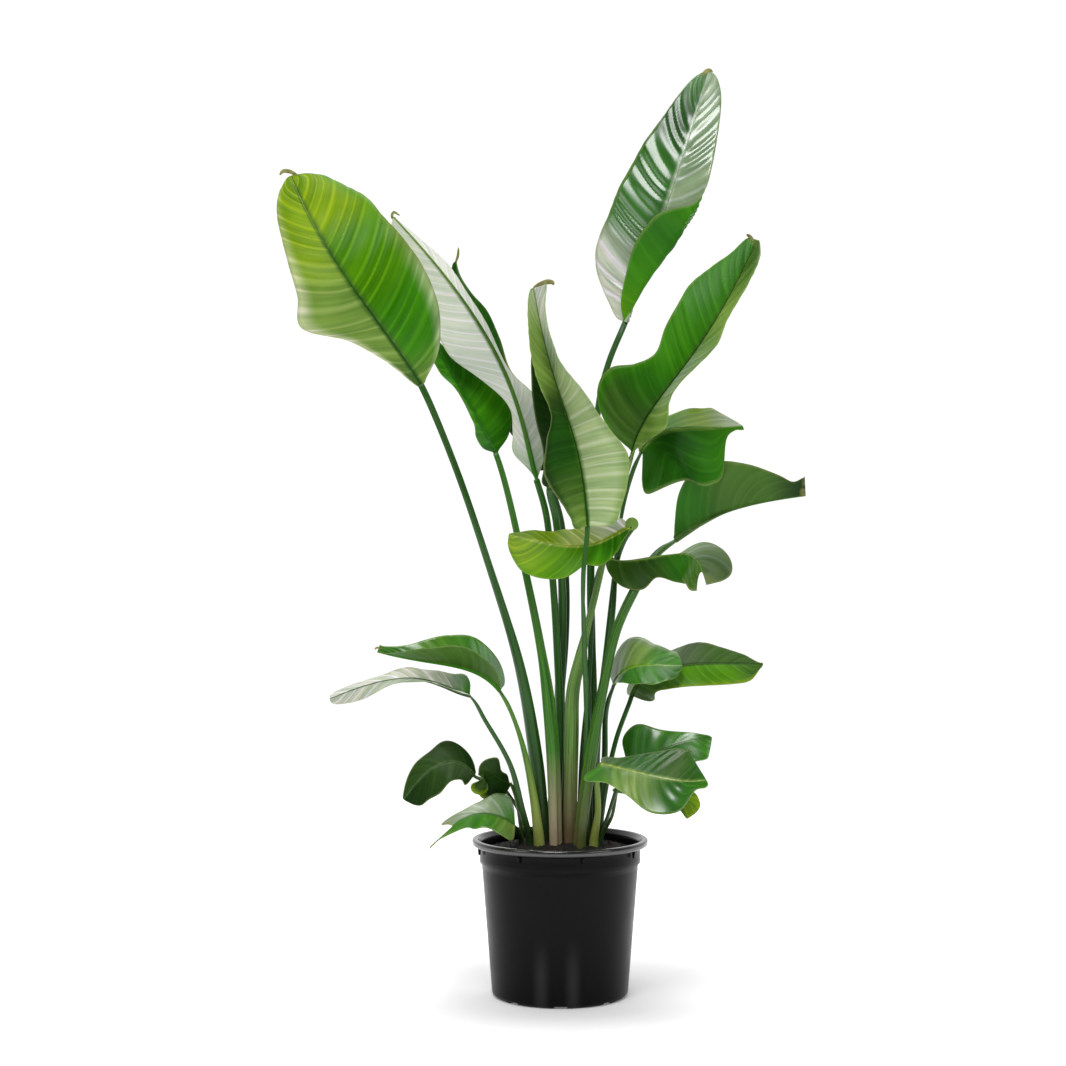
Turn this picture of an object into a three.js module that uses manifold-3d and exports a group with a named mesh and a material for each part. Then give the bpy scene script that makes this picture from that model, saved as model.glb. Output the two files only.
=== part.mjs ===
// A giant white bird of paradise in a black nursery pot, in millimetres with +Z up.
// The origin is the middle of the pot's underside, and -Y is the side the plant is looked at from.
// The plant is a clump of leaves. Each leaf is a long grooved stalk and one paddle-shaped blade.
import * as THREE from "three";
import { mergeVertices } from "three/addons/utils/BufferGeometryUtils.js";
import Module from "manifold-3d";

const wasm = await Module();
wasm.setup();

// The pot: a 10 inch nursery pot of thin moulded plastic
const POT_SIDES = 36;
const RIM_RADIUS = 128;
const RIM_TOP = 228;
const RIM_BEAD = 9;
const COLLAR_RADIUS = 117;
const COLLAR_FOOT = 194;
const WALL_TOP_RADIUS = 114;
const WALL_FOOT_RADIUS = 99.5;
const FOOT_CORNER = 8;
const WALL = 2.2;
const FLOOR = 3;
const FIN_COUNT = 8;
const FIN = { width: 3.4, depth: 4.5, height: 13, radius: 121 };
const NOTCH_COUNT = 8;
const NOTCH = { width: 20, depth: 20, height: 3.8, radius: 93 };

// The soil and the holes that the stalks stand in
const GAP = 0.3;
const SIDE_GAP = 0.35;
const SOIL_EDGE = 209;
const SOIL_CROWN = 217;
const SOIL_LUMP = { height: 1.3, period: 50 };
const HOLE_FLOOR = 168;
const HOLE_TOP = 237;
const STALK_CLEAR_OF_SOIL = 224;

// The leaves
const BLADE_THICKNESS = 0.9;
const VEIN_SWEEP = 0.28;
const LOBE_SWEEP = 0.22;
const KEEL_DEPTH = 1.05;
const KEEL_TAPER = 0.85;
const KEEL_WIDTH = 0.8;
const EVEN_ROWS = 0.35;
const STALK_SIDES = 8;
const STALK_DEPTH = 0.86;
const STALK_GROOVE = 0.66;
const RING_SPACING = 62;
const LARGE = { rows: 13, columns: [0.25, 0.6] };
const ROLLED = { rows: 15, columns: [0.14, 0.3, 0.46, 0.72] };
const SMALL = { rows: 9, columns: [0.5] };

// Colours from the photograph, by the age and turn of the leaf
const GREENS = {
  young: 0x7fb32c,
  bright: 0x56a01c,
  pleated: 0x9cc26a,
  glossy: 0x3f8a2c,
  silver: 0xb9cbae,
  deep: 0x2c6a1e,
  dark: 0x2f5a26,
};
const STALK_GREEN = 0x5b8245;

// One entry a leaf. `stalk` holds the foot [x, y, half-width] in the soil, then points [x, y, z,
// half-width] on the way up, and last the half-width where the blade starts. `rib` is the four points that
// the midrib runs through, from the stalk to the tip. `face` is the way the upper side looks at the start
// and at the tip. Left and right are as seen on the upper side with the tip upwards: `width` is the
// half-blade's width at seven stations and the tip, `fold` how far it is raised off the flat and `curl` how
// much more it turns on the way to the margin, in degrees at places spread evenly from the start to the
// tip, and `roll` the stretch of the half-blade that turns. `wave` is the height and the number of the
// margin's waves. `sweep` and `lobe` are how far the margin lies ahead of its veins' start, and behind it
// beside the stalk, as shares of the width.
const LEAVES = [
  {
    name: "broad_left", tone: "young", size: LARGE,
    stalk: [
      [-23, -3, 9.5], [-40, -8, 340, 9.5], [-62, -25, 483, 8], [-105, -45, 634, 6], [-154, -60, 777, 5],
      4.8,
    ],
    rib: [[-199, -70, 884], [-253, -118, 964], [-316, -128, 1054], [-387, -60, 1178]],
    face: [[0.1, -1, 0.1], [0.1, -1, 0.2]],
    left: { width: [12, 24, 48, 80, 66, 48, 30, 2], fold: [-30, 5, 5], curl: [0, -10, -15] },
    right: { width: [44, 76, 95, 97, 92, 76, 48, 2], fold: [10, 8, 5], curl: [-5, -15, -20] },
    wave: [2, 3],
  },
  {
    name: "wavy_left", tone: "deep", size: LARGE,
    stalk: [[-6, -31, 9], [-9, -28, 345, 9], [-16, -24, 431, 8.5], [-51, -5, 619, 5.5], 4.2],
    rib: [[-95, 15, 790], [-132, 5, 850], [-165, 8, 895], [-190, 18, 935]],
    face: [[0.2, -1, 0.2], [0.2, -1, 0.2]],
    left: { width: [18, 32, 34, 30, 24, 16, 9, 2], fold: [-88, -88, -80], curl: [-10, -10, -10] },
    right: { width: [22, 46, 54, 46, 36, 24, 12, 2], fold: [10, 10, 10], curl: [-15, -15, -15] },
    wave: [4, 4],
  },
  {
    name: "silver_left", tone: "silver", size: LARGE,
    stalk: [[-5, 8, 8], [0, 6, 400, 7], [-4, 6, 502, 6.2], [-10, 5, 597, 5.6], [-20, 2, 699, 5], 4.6],
    rib: [[-34, 0, 750], [-55, -35, 843], [-116, -40, 965], [-243, 0, 1134]],
    face: [[0, 1, 0.2], [0, 1, 0.4]],
    left: { width: [8, 24, 42, 50, 40, 32, 20, 2], fold: [30, 72, 62], curl: [5, 5, 5] },
    right: { width: [8, 24, 15, 40, 52, 38, 22, 2], fold: [20, 15, 10], curl: [10, 10, 5] },
    wave: [3, 3],
  },
  {
    name: "dark_left", tone: "dark", size: LARGE,
    stalk: [[-14, 30, 7], [-2, 39, 400, 6.5], [8, 41, 520, 6], [9, 42, 600, 5.6], [2, 43, 690, 5], 4.4],
    rib: [[-20, 45, 766], [-56, 34, 851], [-115, 30, 958], [-152, 50, 1093]],
    face: [[0.2, -1, 0.2], [0.2, -1, 0.2]],
    left: { width: [16, 28, 34, 34, 28, 20, 10, 2], fold: [-40, -40, -30], curl: [-5, -5, -5] },
    right: { width: [6, 22, 32, 14, 20, 8, 5, 2], fold: [5, 5, 5], curl: [-10, -10, -10] },
    wave: [2, 3],
  },
  {
    name: "folded_centre", tone: "pleated", size: LARGE,
    stalk: [
      [38, -12, 5], [39, -14, 343, 4.8], [39, -24, 402, 4.4], [34, -54, 519, 3.8], [32, -85, 613, 3.6],
      3.6,
    ],
    rib: [[38, -88, 683], [20, -102, 799], [-7, -95, 885], [-39, -62, 1023]],
    face: [[0.34, -1, 0.1], [0.34, -1, 0.1]],
    left: { width: [34, 56, 66, 60, 46, 30, 16, 3], fold: [28, 35, 42], curl: [0, 0, 0] },
    right: { width: [50, 68, 72, 52, 38, 18, 18, 24], fold: [28, 42, 60, 85, 35], curl: [0, 0, 10] },
    wave: [1.5, 4],
    sweep: -0.1,
  },
  {
    name: "hidden_centre", tone: "dark", size: SMALL,
    stalk: [[8, 26, 9], [0, 24, 427, 8], [3, 22, 516, 7], [3, 14, 597, 6.2], [-6, 0, 692, 5.2], 4.6],
    rib: [[-16, -15, 738], [-6, -38, 796], [-15, -45, 864], [-38, -40, 934]],
    face: [[-0.2, -1, 0.1], [-0.2, -1, 0.1]],
    left: { width: [14, 16, 20, 26, 24, 16, 8, 1.6], fold: [10, 10, 10], curl: [0, 0, 0] },
    right: { width: [14, 20, 24, 24, 20, 14, 8, 1.6], fold: [40, 40, 40], curl: [0, 0, 0] },
    wave: [1, 2],
  },
  {
    name: "tall_right", tone: "glossy", size: ROLLED,
    stalk: [
      [44, 27, 8], [49, 27, 427, 7], [47, 27, 515, 6.5], [46, 31, 633, 6], [57, 50, 856, 5],
      [72, 55, 923, 4.6],
      4.4,
    ],
    rib: [[98, 60, 987], [142, 50, 1108], [179, 50, 1219], [225, 90, 1366]],
    face: [[-0.1, -1, 0.2], [-0.1, -1, 0.3]],
    left: { width: [40, 80, 90, 84, 66, 44, 25, 2], fold: [12, 10, 5], curl: [-20, -25, -25] },
    right: {
      width: [20, 55, 100, 88, 44, 36, 20, 2],
      fold: [5, 10, 10],
      curl: [185, 185, 180, 40, -10, -10],
      roll: [0.25, 0.55],
    },
    wave: [2, 4],
  },
  {
    name: "long_right", tone: "glossy", size: LARGE,
    stalk: [
      [13, -11, 10], [15, -9, 444, 12.5], [41, -8, 517, 6.5], [58, -6, 612, 5.6], [75, -5, 692, 5.2],
      4.8,
    ],
    rib: [[101, -20, 780], [136, -45, 857], [200, -50, 943], [285, -20, 1098]],
    face: [[-0.57, -0.8, 0.2], [-0.57, -0.8, 0.2]],
    left: { width: [40, 78, 76, 52, 56, 52, 24, 2], fold: [35, 35, 30], curl: [-10, -10, -15] },
    right: { width: [22, 50, 62, 40, 56, 40, 18, 2], fold: [25, 38, 35], curl: [-5, -5, -5] },
    wave: [2.5, 4],
  },
  {
    name: "hooded_right", tone: "deep", size: LARGE,
    stalk: [
      [60, 12, 4.5], [59, 10, 429, 4.4], [67, 16, 502, 4], [79, 27, 604, 3.6], [91, 30, 699, 3.4],
      [103, 24, 751, 4],
      4,
    ],
    rib: [[118, 14, 792], [154, 6, 824], [205, 4, 828], [269, 20, 830]],
    face: [[0, -0.3, 1], [0, -0.3, 1]],
    left: { width: [24, 44, 60, 66, 60, 46, 26, 2], fold: [8, 8, 8], curl: [0, 5, 5] },
    right: { width: [56, 76, 90, 88, 80, 12, 5, 2], fold: [-55, -55, -50], curl: [-10, -10, -10] },
    wave: [1.5, 3],
    lobe: 1.6,
  },
  {
    name: "arched_right", tone: "dark", size: LARGE,
    stalk: [
      [27, -37, 10.5], [43, -36, 346, 10.5], [60, -34, 441, 8.5], [81, -22, 531, 8], [108, -8, 589, 8],
      [139, 12, 639, 6.5],
      5,
    ],
    rib: [[169, 22, 663], [222, 30, 694], [281, 36, 714], [358, 40, 728]],
    face: [[0, -0.1, 1], [0, -0.1, 1]],
    left: { width: [18, 36, 56, 60, 50, 34, 20, 8], fold: [55, 55, 55], curl: [0, 0, 0] },
    right: { width: [34, 56, 72, 72, 58, 38, 22, 12], fold: [75, 75, 70], curl: [0, 0, 0] },
    wave: [1.5, 3],
  },
  {
    name: "bright_boat", tone: "bright", size: LARGE,
    stalk: [
      [52, -4, 4.6], [52, -2, 350, 4.5], [66, -3, 450, 4.2], [78, 6, 560, 4], [84, 17, 630, 3.8],
      [95, 12, 662, 3.8], [110, -16, 686, 3.8],
      4,
    ],
    rib: [[100, -42, 683], [57, -58, 657], [11, -62, 650], [-74, -48, 671]],
    face: [[0, -0.45, 0.9], [0, -0.45, 0.9]],
    left: { width: [12, 26, 32, 36, 50, 46, 30, 12], fold: [-45, -45, -40], curl: [0, 0, 0] },
    right: { width: [20, 28, 40, 46, 46, 38, 26, 4], fold: [12, 12, 10], curl: [0, 0, 0] },
    wave: [2, 3],
  },
  {
    name: "split_right", tone: "dark", size: LARGE,
    stalk: [
      [28, 22, 4.6], [33, 20, 350, 4.5], [42, 14, 450, 4.2], [48, 12, 560, 4], [55, 10, 612, 3.8],
      3.8,
    ],
    rib: [[67, 8, 638], [123, -8, 635], [178, -25, 641], [206, -40, 606]],
    face: [[0, -0.3, 1], [0.2, -0.9, 0.2]],
    left: { width: [4, 6, 8, 7, 18, 42, 46, 34], fold: [25, 10, 0], curl: [0, 0, 0] },
    right: { width: [20, 40, 44, 34, 40, 44, 40, 20], fold: [-50, -45, -10], curl: [0, 0, 0] },
    wave: [1.5, 2],
  },
  {
    name: "low_left_upper", tone: "glossy", size: SMALL,
    stalk: [[-30, -30, 8], [-46, -35, 334, 6], [-66, -42, 404, 4], 3.8],
    rib: [[-87, -45, 447], [-130, -60, 480], [-186, -70, 497], [-264, -60, 501]],
    face: [[0, -0.35, 0.94], [0, -0.35, 0.94]],
    left: { width: [30, 48, 60, 58, 44, 26, 12, 1.6], fold: [48, 50, 50], curl: [0, 0, 0] },
    right: { width: [24, 36, 44, 38, 27, 15, 8, 1.6], fold: [50, 50, 50], curl: [0, 0, 0] },
    wave: [1.5, 3],
  },
  {
    name: "low_left_lower", tone: "dark", size: SMALL,
    stalk: [[-44, -20, 6], [-55, -35, 273, 5.6], [-72, -50, 340, 4.2], [-108, -65, 406, 3.6], 3.4],
    rib: [[-129, -70, 445], [-171, -85, 464], [-227, -95, 474], [-327, -90, 439]],
    face: [[0, -0.1, 1], [0, -0.1, 1]],
    left: { width: [26, 40, 46, 40, 36, 30, 20, 1.6], fold: [10, 0, -45], curl: [0, 0, 0] },
    right: { width: [20, 32, 36, 34, 30, 26, 16, 1.6], fold: [12, 5, -5], curl: [0, 0, 0] },
    wave: [2, 3],
  },
  {
    name: "round_left", tone: "dark", size: SMALL,
    stalk: [[-44, 13, 4.5], [-52, 20, 250, 4], [-84, 14, 300, 3.4], 3.2],
    rib: [[-125, -20, 321], [-152, -40, 343], [-187, -52, 333], [-224, -58, 291]],
    face: [[-0.2, -0.7, 0.7], [-0.2, -0.7, 0.7]],
    left: { width: [24, 34, 40, 40, 36, 30, 20, 3], fold: [5, 5, 5], curl: [-10, -10, -10] },
    right: { width: [22, 34, 38, 34, 28, 20, 12, 3], fold: [5, 5, 5], curl: [-10, -10, -10] },
    wave: [2, 2],
  },
  {
    name: "curled_left", tone: "young", size: SMALL,
    stalk: [[-55, 4, 3.6], [-58, 2, 250, 3.4], [-64, -1, 285, 3], 2.8],
    rib: [[-71, -5, 307], [-92, -18, 319], [-106, -26, 328], [-118, -30, 323]],
    face: [[-0.1, -0.8, 0.5], [-0.1, -0.8, 0.5]],
    left: { width: [10, 14, 22, 34, 34, 22, 8, 1.6], fold: [-50, -60, -60], curl: [0, 0, 0] },
    right: { width: [14, 26, 32, 20, 10, 8, 5, 1.6], fold: [30, 30, 30], curl: [10, 10, 10] },
    wave: [1, 2],
  },
  {
    name: "forked_left", tone: "glossy", size: SMALL,
    stalk: [[-57, -14, 3.6], [-60, -25, 238, 3.2], 3],
    rib: [[-65, -50, 254], [-94, -66, 270], [-129, -78, 270], [-188, -84, 232]],
    face: [[0, -0.6, 0.8], [0, -0.6, 0.8]],
    left: { width: [24, 32, 30, 24, 16, 8, 4, 1.6], fold: [-5, -5, -5], curl: [-20, -10, 0] },
    right: { width: [24, 32, 28, 18, 10, 6, 3, 1.6], fold: [5, 5, 5], curl: [-10, -10, 0] },
    wave: [2, 2],
  },
  {
    name: "shiny_right", tone: "glossy", size: SMALL,
    stalk: [[64, 30, 5], [66, 28, 340, 5], [68, 25, 410, 4.4], 4],
    rib: [[78, 10, 451], [105, -15, 478], [143, -30, 482], [176, -35, 482]],
    face: [[0, -0.55, 0.84], [0, -0.55, 0.84]],
    left: { width: [30, 42, 46, 44, 38, 28, 16, 1.6], fold: [15, 15, 15], curl: [0, 0, 0] },
    right: { width: [28, 38, 42, 40, 34, 26, 15, 1.6], fold: [-10, -10, -10], curl: [0, 0, 0] },
    wave: [2, 3],
  },
  {
    name: "flat_right", tone: "deep", size: SMALL,
    stalk: [[68, -8, 5], [66, -10, 300, 4.4], [82, -2, 372, 3.8], 3.6],
    rib: [[105, 10, 434], [144, 0, 472], [216, -20, 484], [293, -30, 484]],
    face: [[0, -0.5, 0.86], [0, -0.5, 0.86]],
    left: { width: [28, 42, 52, 52, 44, 28, 14, 1.6], fold: [10, 10, 10], curl: [0, 0, 0] },
    right: { width: [26, 42, 48, 48, 44, 30, 14, 1.6], fold: [-30, -30, -30], curl: [30, 30, 20] },
    wave: [1.5, 3],
  },
  {
    name: "lobed_right", tone: "glossy", size: SMALL,
    stalk: [[62, -24, 4], [68, -25, 262, 3.6], [82, -26, 303, 3.4], 3.4],
    rib: [[97, -28, 332], [122, -38, 349], [172, -44, 371], [218, -40, 375]],
    face: [[-0.2, -0.7, 0.7], [-0.2, -0.7, 0.7]],
    left: { width: [40, 52, 46, 32, 24, 17, 10, 1.6], fold: [10, 10, 10], curl: [0, 0, 0] },
    right: { width: [20, 30, 40, 42, 38, 30, 16, 1.6], fold: [-30, -30, -20], curl: [0, 0, 0] },
    wave: [2, 2],
  },
  {
    name: "glossy_right", tone: "glossy", size: SMALL,
    stalk: [[48, -32, 5.5], [54, -42, 270, 4.6], 4],
    rib: [[56, -70, 344], [105, -100, 336], [156, -118, 327], [204, -112, 326]],
    face: [[0, -0.75, 0.65], [0, -0.75, 0.65]],
    left: { width: [16, 24, 36, 42, 40, 30, 16, 1.6], fold: [0, 0, 0], curl: [0, 0, 0] },
    right: { width: [32, 34, 44, 56, 44, 24, 12, 1.6], fold: [0, 0, 0], curl: [-10, -10, -10] },
    wave: [2, 2],
    lobe: 1,
  },
  {
    name: "small_right", tone: "young", size: SMALL,
    stalk: [[76, 9, 3.6], [76, 5, 260, 3.4], 3],
    rib: [[85, 0, 303], [117, -18, 301], [156, -30, 292], [190, -30, 270]],
    face: [[0.1, -0.5, 0.8], [0.1, -0.5, 0.8]],
    left: { width: [14, 20, 24, 26, 26, 22, 14, 1.6], fold: [0, 0, 0], curl: [0, 0, 0] },
    right: { width: [14, 20, 24, 26, 26, 22, 14, 1.6], fold: [0, 0, 0], curl: [0, 0, 0] },
    wave: [1, 2],
  },
];

const UP = new THREE.Vector3(0, 0, 1);
const vector = (xyz) => new THREE.Vector3(...xyz);
const radians = THREE.MathUtils.degToRad;

// A smooth line of numbers: the value at place s of a list, with s counted in steps of the list.
function along(values, s) {
  const last = values.length - 1;
  const i = Math.min(Math.floor(s), last - 1);
  const t = s - i;
  const before = i > 0 ? values[i - 1] : 2 * values[0] - values[1];
  const after = i + 2 <= last ? values[i + 2] : 2 * values[last] - values[last - 1];
  const [a, b] = [values[i], values[i + 1]];
  const slopeA = (b - before) / 2;
  const slopeB = (after - a) / 2;
  const rise = b - a;
  return a + t * (slopeA + t * (3 * rise - 2 * slopeA - slopeB + t * (slopeA + slopeB - 2 * rise)));
}

// Eases from each to the next of a list of values as u goes from 0 to 1.
function ease(values, u) {
  const s = u * (values.length - 1);
  const i = Math.min(Math.floor(s), values.length - 2);
  const t = s - i;
  return values[i] + (values[i + 1] - values[i]) * t * t * (3 - 2 * t);
}

// The cubic curve that runs through four points at 0, 1/3, 2/3 and 1.
function ribCurve([p0, p1, p2, p3]) {
  const handle = (near, far, a, b, c, d) =>
    new THREE.Vector3()
      .addScaledVector(near, a)
      .addScaledVector(p1, b)
      .addScaledVector(p2, c)
      .addScaledVector(far, d);
  const first = handle(p0, p3, -5 / 6, 3, -1.5, 1 / 3);
  const second = handle(p0, p3, 1 / 3, -1.5, 3, -5 / 6);
  return new THREE.CubicBezierCurve3(p0, first, second, p3);
}

// The directions at a place on a leaf: along it, to its right, and out of its upper side.
function frameAt(forward, face) {
  const side = new THREE.Vector3().crossVectors(forward, face).normalize();
  return { forward, side, out: new THREE.Vector3().crossVectors(side, forward) };
}

// The blade as a function of u along the midrib, the side (-1 left, 1 right) and v from the midrib to the
// margin. A half-blade leaves the midrib flat at its fold angle, turns evenly by its curl angle over the
// stretch named roll, and goes on flat; its veins sweep towards the tip, its lobes sweep back beside the
// stalk, and its margin rides up and down in waves.
function bladeSurface(leaf, startWidth) {
  const rib = ribCurve(leaf.rib.map(vector));
  const [faceStart, faceEnd] = leaf.face.map(vector);
  const phase = leaf.name.length;
  const width = (u, side) => {
    const stations = [startWidth, ...(side < 0 ? leaf.left : leaf.right).width];
    return along(stations, (Math.acos(1 - 2 * u) / Math.PI) * (stations.length - 1));
  };
  const place = (u, side, v, lift) => {
    const half = side < 0 ? leaf.left : leaf.right;
    const frame = frameAt(rib.getTangent(u).normalize(), faceStart.clone().lerp(faceEnd, u));
    const w = width(u, side);
    const [rollStart, rollEnd] = half.roll ?? [0, 1];
    const fold = radians(ease(half.fold, u));
    const turn = radians(ease(half.curl, u) || 0.1);
    const turned = THREE.MathUtils.clamp((v - rollStart) / (rollEnd - rollStart), 0, 1);
    const angle = fold + turn * turned;
    const flat = w * Math.min(v, rollStart);
    const beyond = w * Math.max(v - rollEnd, 0);
    const radius = (w * (rollEnd - rollStart)) / turn;
    const bentAcross = radius * (Math.sin(angle) - Math.sin(fold));
    const bentRise = radius * (Math.cos(fold) - Math.cos(angle));
    const across = flat * Math.cos(fold) + bentAcross + beyond * Math.cos(angle);
    const rise = flat * Math.sin(fold) + bentRise + beyond * Math.sin(angle);
    const { sweep = VEIN_SWEEP, lobe = LOBE_SWEEP } = leaf;
    const swept = sweep * (1 - u ** 4) - (sweep + lobe) * (1 - u) ** 10;
    const forward = (w - startWidth) * v * v * swept;
    const [waveHeight, waveCount] = leaf.wave;
    const wave = Math.sin(2 * Math.PI * waveCount * u + phase + side) * Math.sin(Math.PI * u);
    const normal = frame.side
      .clone()
      .multiplyScalar(-side * Math.sin(angle))
      .addScaledVector(frame.out, Math.cos(angle));
    return rib
      .getPoint(u)
      .addScaledVector(frame.side, side * across)
      .addScaledVector(frame.out, rise)
      .addScaledVector(frame.forward, forward)
      .addScaledVector(normal, waveHeight * v * v * wave + lift);
  };
  return { rib, width, place, faceStart };
}

// A closed solid from two grids of points of one size, upper and lower, joined around their edges.
function shellGeometry(upper, lower) {
  const rows = upper.length;
  const columns = upper[0].length;
  const points = [...upper.flat(), ...lower.flat()];
  const up = (i, j) => i * columns + j;
  const down = (i, j) => rows * columns + i * columns + j;
  const triangles = [];
  for (let i = 0; i + 1 < rows; i++)
    for (let j = 0; j + 1 < columns; j++) {
      triangles.push(up(i, j), up(i, j + 1), up(i + 1, j + 1));
      triangles.push(up(i, j), up(i + 1, j + 1), up(i + 1, j));
      triangles.push(down(i, j), down(i + 1, j + 1), down(i, j + 1));
      triangles.push(down(i, j), down(i + 1, j), down(i + 1, j + 1));
    }
  const edge = [];
  for (let j = 0; j + 1 < columns; j++) edge.push([0, j]);
  for (let i = 0; i + 1 < rows; i++) edge.push([i, columns - 1]);
  for (let j = columns - 1; j > 0; j--) edge.push([rows - 1, j]);
  for (let i = rows - 1; i > 0; i--) edge.push([i, 0]);
  edge.forEach((a, k) => {
    const b = edge[(k + 1) % edge.length];
    triangles.push(up(...a), down(...b), up(...b), up(...a), down(...a), down(...b));
  });
  const geometry = new THREE.BufferGeometry().setFromPoints(points);
  geometry.setIndex(triangles);
  return geometry;
}

// A blade: its upper side is smooth, and its midrib stands out as a keel below that thins to the tip.
function bladeGeometry(leaf) {
  const startWidth = leaf.stalk.at(-1);
  const { width, place } = bladeSurface(leaf, startWidth);
  const { rows, columns } = leaf.size;
  const upper = [];
  const lower = [];
  for (let i = 0; i <= rows; i++) {
    const t = i / rows;
    const u = EVEN_ROWS * t + ((1 - EVEN_ROWS) / 2) * (1 - Math.cos(Math.PI * t));
    const keel = startWidth * (KEEL_DEPTH - KEEL_TAPER * u);
    const stations = [];
    for (const side of [-1, 1]) {
      const keelShare = Math.min(0.6, (KEEL_WIDTH * keel) / width(u, side));
      const shares = [keelShare, ...columns.map((c) => keelShare + (1 - keelShare) * c), 1];
      const half = shares.map((v) => ({ side, v, depth: 0 }));
      stations.push(...(side < 0 ? [...half.reverse(), { side, v: 0, depth: keel }] : half));
    }
    upper.push(stations.map(({ side, v }) => place(u, side, v, BLADE_THICKNESS / 2)));
    lower.push(stations.map(({ side, v, depth }) => place(u, side, v, -BLADE_THICKNESS / 2 - depth)));
  }
  return shellGeometry(upper, lower);
}

// The line of a stalk's rings: straight up out of the soil, then on through its points to the blade.
function stalkRings(leaf) {
  const [[x, y, footWidth], ...rest] = leaf.stalk;
  const endWidth = rest.pop();
  const { rib, faceStart } = bladeSurface(leaf, endWidth);
  const base = rib.getPoint(0);
  const forward = rib.getTangent(0).normalize();
  const seat = base.clone().addScaledVector(forward, -GAP);
  const route = [new THREE.Vector3(x, y, STALK_CLEAR_OF_SOIL), ...rest.map(vector), seat];
  const widths = [footWidth, ...rest.map((point) => point[3]), endWidth];
  const reach = seat.distanceTo(route.at(-2)) / 2;
  const before = new THREE.Vector3(x, y, HOLE_FLOOR + GAP);
  const beyond = seat.clone().addScaledVector(forward, reach);
  const curve = new THREE.CatmullRomCurve3([before, ...route, beyond], false, "centripetal");
  const pieces = route.length + 1;
  const lean = new THREE.Vector3(x - base.x, y - base.y, 0).normalize();
  const rings = [{ centre: before, forward: UP, face: lean, width: footWidth }];
  for (let k = 0; k + 1 < route.length; k++) {
    const steps = Math.max(1, Math.round(route[k].distanceTo(route[k + 1]) / RING_SPACING));
    for (let i = 0; i < steps; i++) {
      const t = i / steps;
      const share = (k + t) / (route.length - 1);
      rings.push({
        centre: curve.getPoint((k + 1 + t) / pieces),
        forward: k + i === 0 ? UP : curve.getTangent((k + 1 + t) / pieces).normalize(),
        face: lean.clone().lerp(faceStart, share ** 2),
        width: along(widths, k + t),
      });
    }
  }
  rings.push({ centre: seat, forward, face: faceStart, width: endWidth });
  return rings;
}

// A ring of points around a stalk: an oval with a groove down the side that faces the clump's middle.
function ringPoints({ centre, forward, face, width }, spare = 0, groove = STALK_GROOVE) {
  const frame = frameAt(forward, face);
  return Array.from({ length: STALK_SIDES }, (_, k) => {
    const angle = (2 * Math.PI * k) / STALK_SIDES;
    const depth = k === STALK_SIDES / 4 ? groove : 1;
    return centre
      .clone()
      .addScaledVector(frame.side, (width + spare) * Math.cos(angle))
      .addScaledVector(frame.out, (STALK_DEPTH * width + spare) * depth * Math.sin(angle));
  });
}

// A closed tube from rings of points, each with one more point in the middle of both ends.
function tubeGeometry(rings) {
  const sides = rings[0].length;
  const middle = (ring) => ring.reduce((sum, p) => sum.add(p), new THREE.Vector3()).divideScalar(sides);
  const points = [...rings.flat(), middle(rings[0]), middle(rings.at(-1))];
  const [foot, head] = [points.length - 2, points.length - 1];
  const triangles = [];
  for (let k = 0; k < sides; k++) {
    const next = (k + 1) % sides;
    for (let i = 0; i + 1 < rings.length; i++) {
      const [a, b] = [i * sides + k, i * sides + next];
      triangles.push(a, b + sides, b, a, a + sides, b + sides);
    }
    const top = (rings.length - 1) * sides;
    triangles.push(foot, k, next, head, top + next, top + k);
  }
  const geometry = new THREE.BufferGeometry().setFromPoints(points);
  geometry.setIndex(triangles);
  return geometry;
}

const stalkGeometry = (leaf) => tubeGeometry(stalkRings(leaf).map((ring) => ringPoints(ring)));

// The hole for a stalk: its foot's oval, a little wider, from just under the foot to above the soil.
function holeGeometry(leaf) {
  const foot = stalkRings(leaf)[0];
  const ringAt = (z) => ringPoints({ ...foot, centre: foot.centre.clone().setZ(z) }, SIDE_GAP, 1);
  return tubeGeometry([ringAt(HOLE_FLOOR), ringAt(HOLE_TOP)]);
}

// Closed meshes as solids that can be joined and cut, and back again
function solid(geometry) {
  const bare = geometry.clone();
  bare.deleteAttribute("normal");
  bare.deleteAttribute("uv");
  const merged = mergeVertices(bare, 1e-4);
  return new wasm.Manifold(
    new wasm.Mesh({
      numProp: 3,
      vertProperties: merged.attributes.position.array,
      triVerts: new Uint32Array(merged.index.array),
    }),
  );
}

function geometryOf(manifold) {
  const mesh = manifold.getMesh();
  const geometry = new THREE.BufferGeometry();
  geometry.setAttribute("position", new THREE.BufferAttribute(new Float32Array(mesh.vertProperties), 3));
  geometry.setIndex(new THREE.BufferAttribute(new Uint32Array(mesh.triVerts), 1));
  return geometry;
}

// A body turned about Z from a profile of [radius, height] pairs that starts and ends on the axis
function turned(profile) {
  const outline = profile.map(([radius, height]) => new THREE.Vector2(radius, height));
  return new THREE.LatheGeometry(outline, POT_SIDES).rotateX(Math.PI / 2);
}

// The outside radius of the pot's wall at a height
function wallRadius(z) {
  const share = (z - FOOT_CORNER) / (COLLAR_FOOT - 2 - FOOT_CORNER);
  return WALL_FOOT_RADIUS + (WALL_TOP_RADIUS - WALL_FOOT_RADIUS) * share;
}

// A box whose middle lies at a radius and an angle about Z, one side facing out
function boxAround(angle, radius, low, { width, depth, height }) {
  return new THREE.BoxGeometry(depth, width, height)
    .translate(radius, 0, low + height / 2)
    .rotateZ(angle);
}

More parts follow.
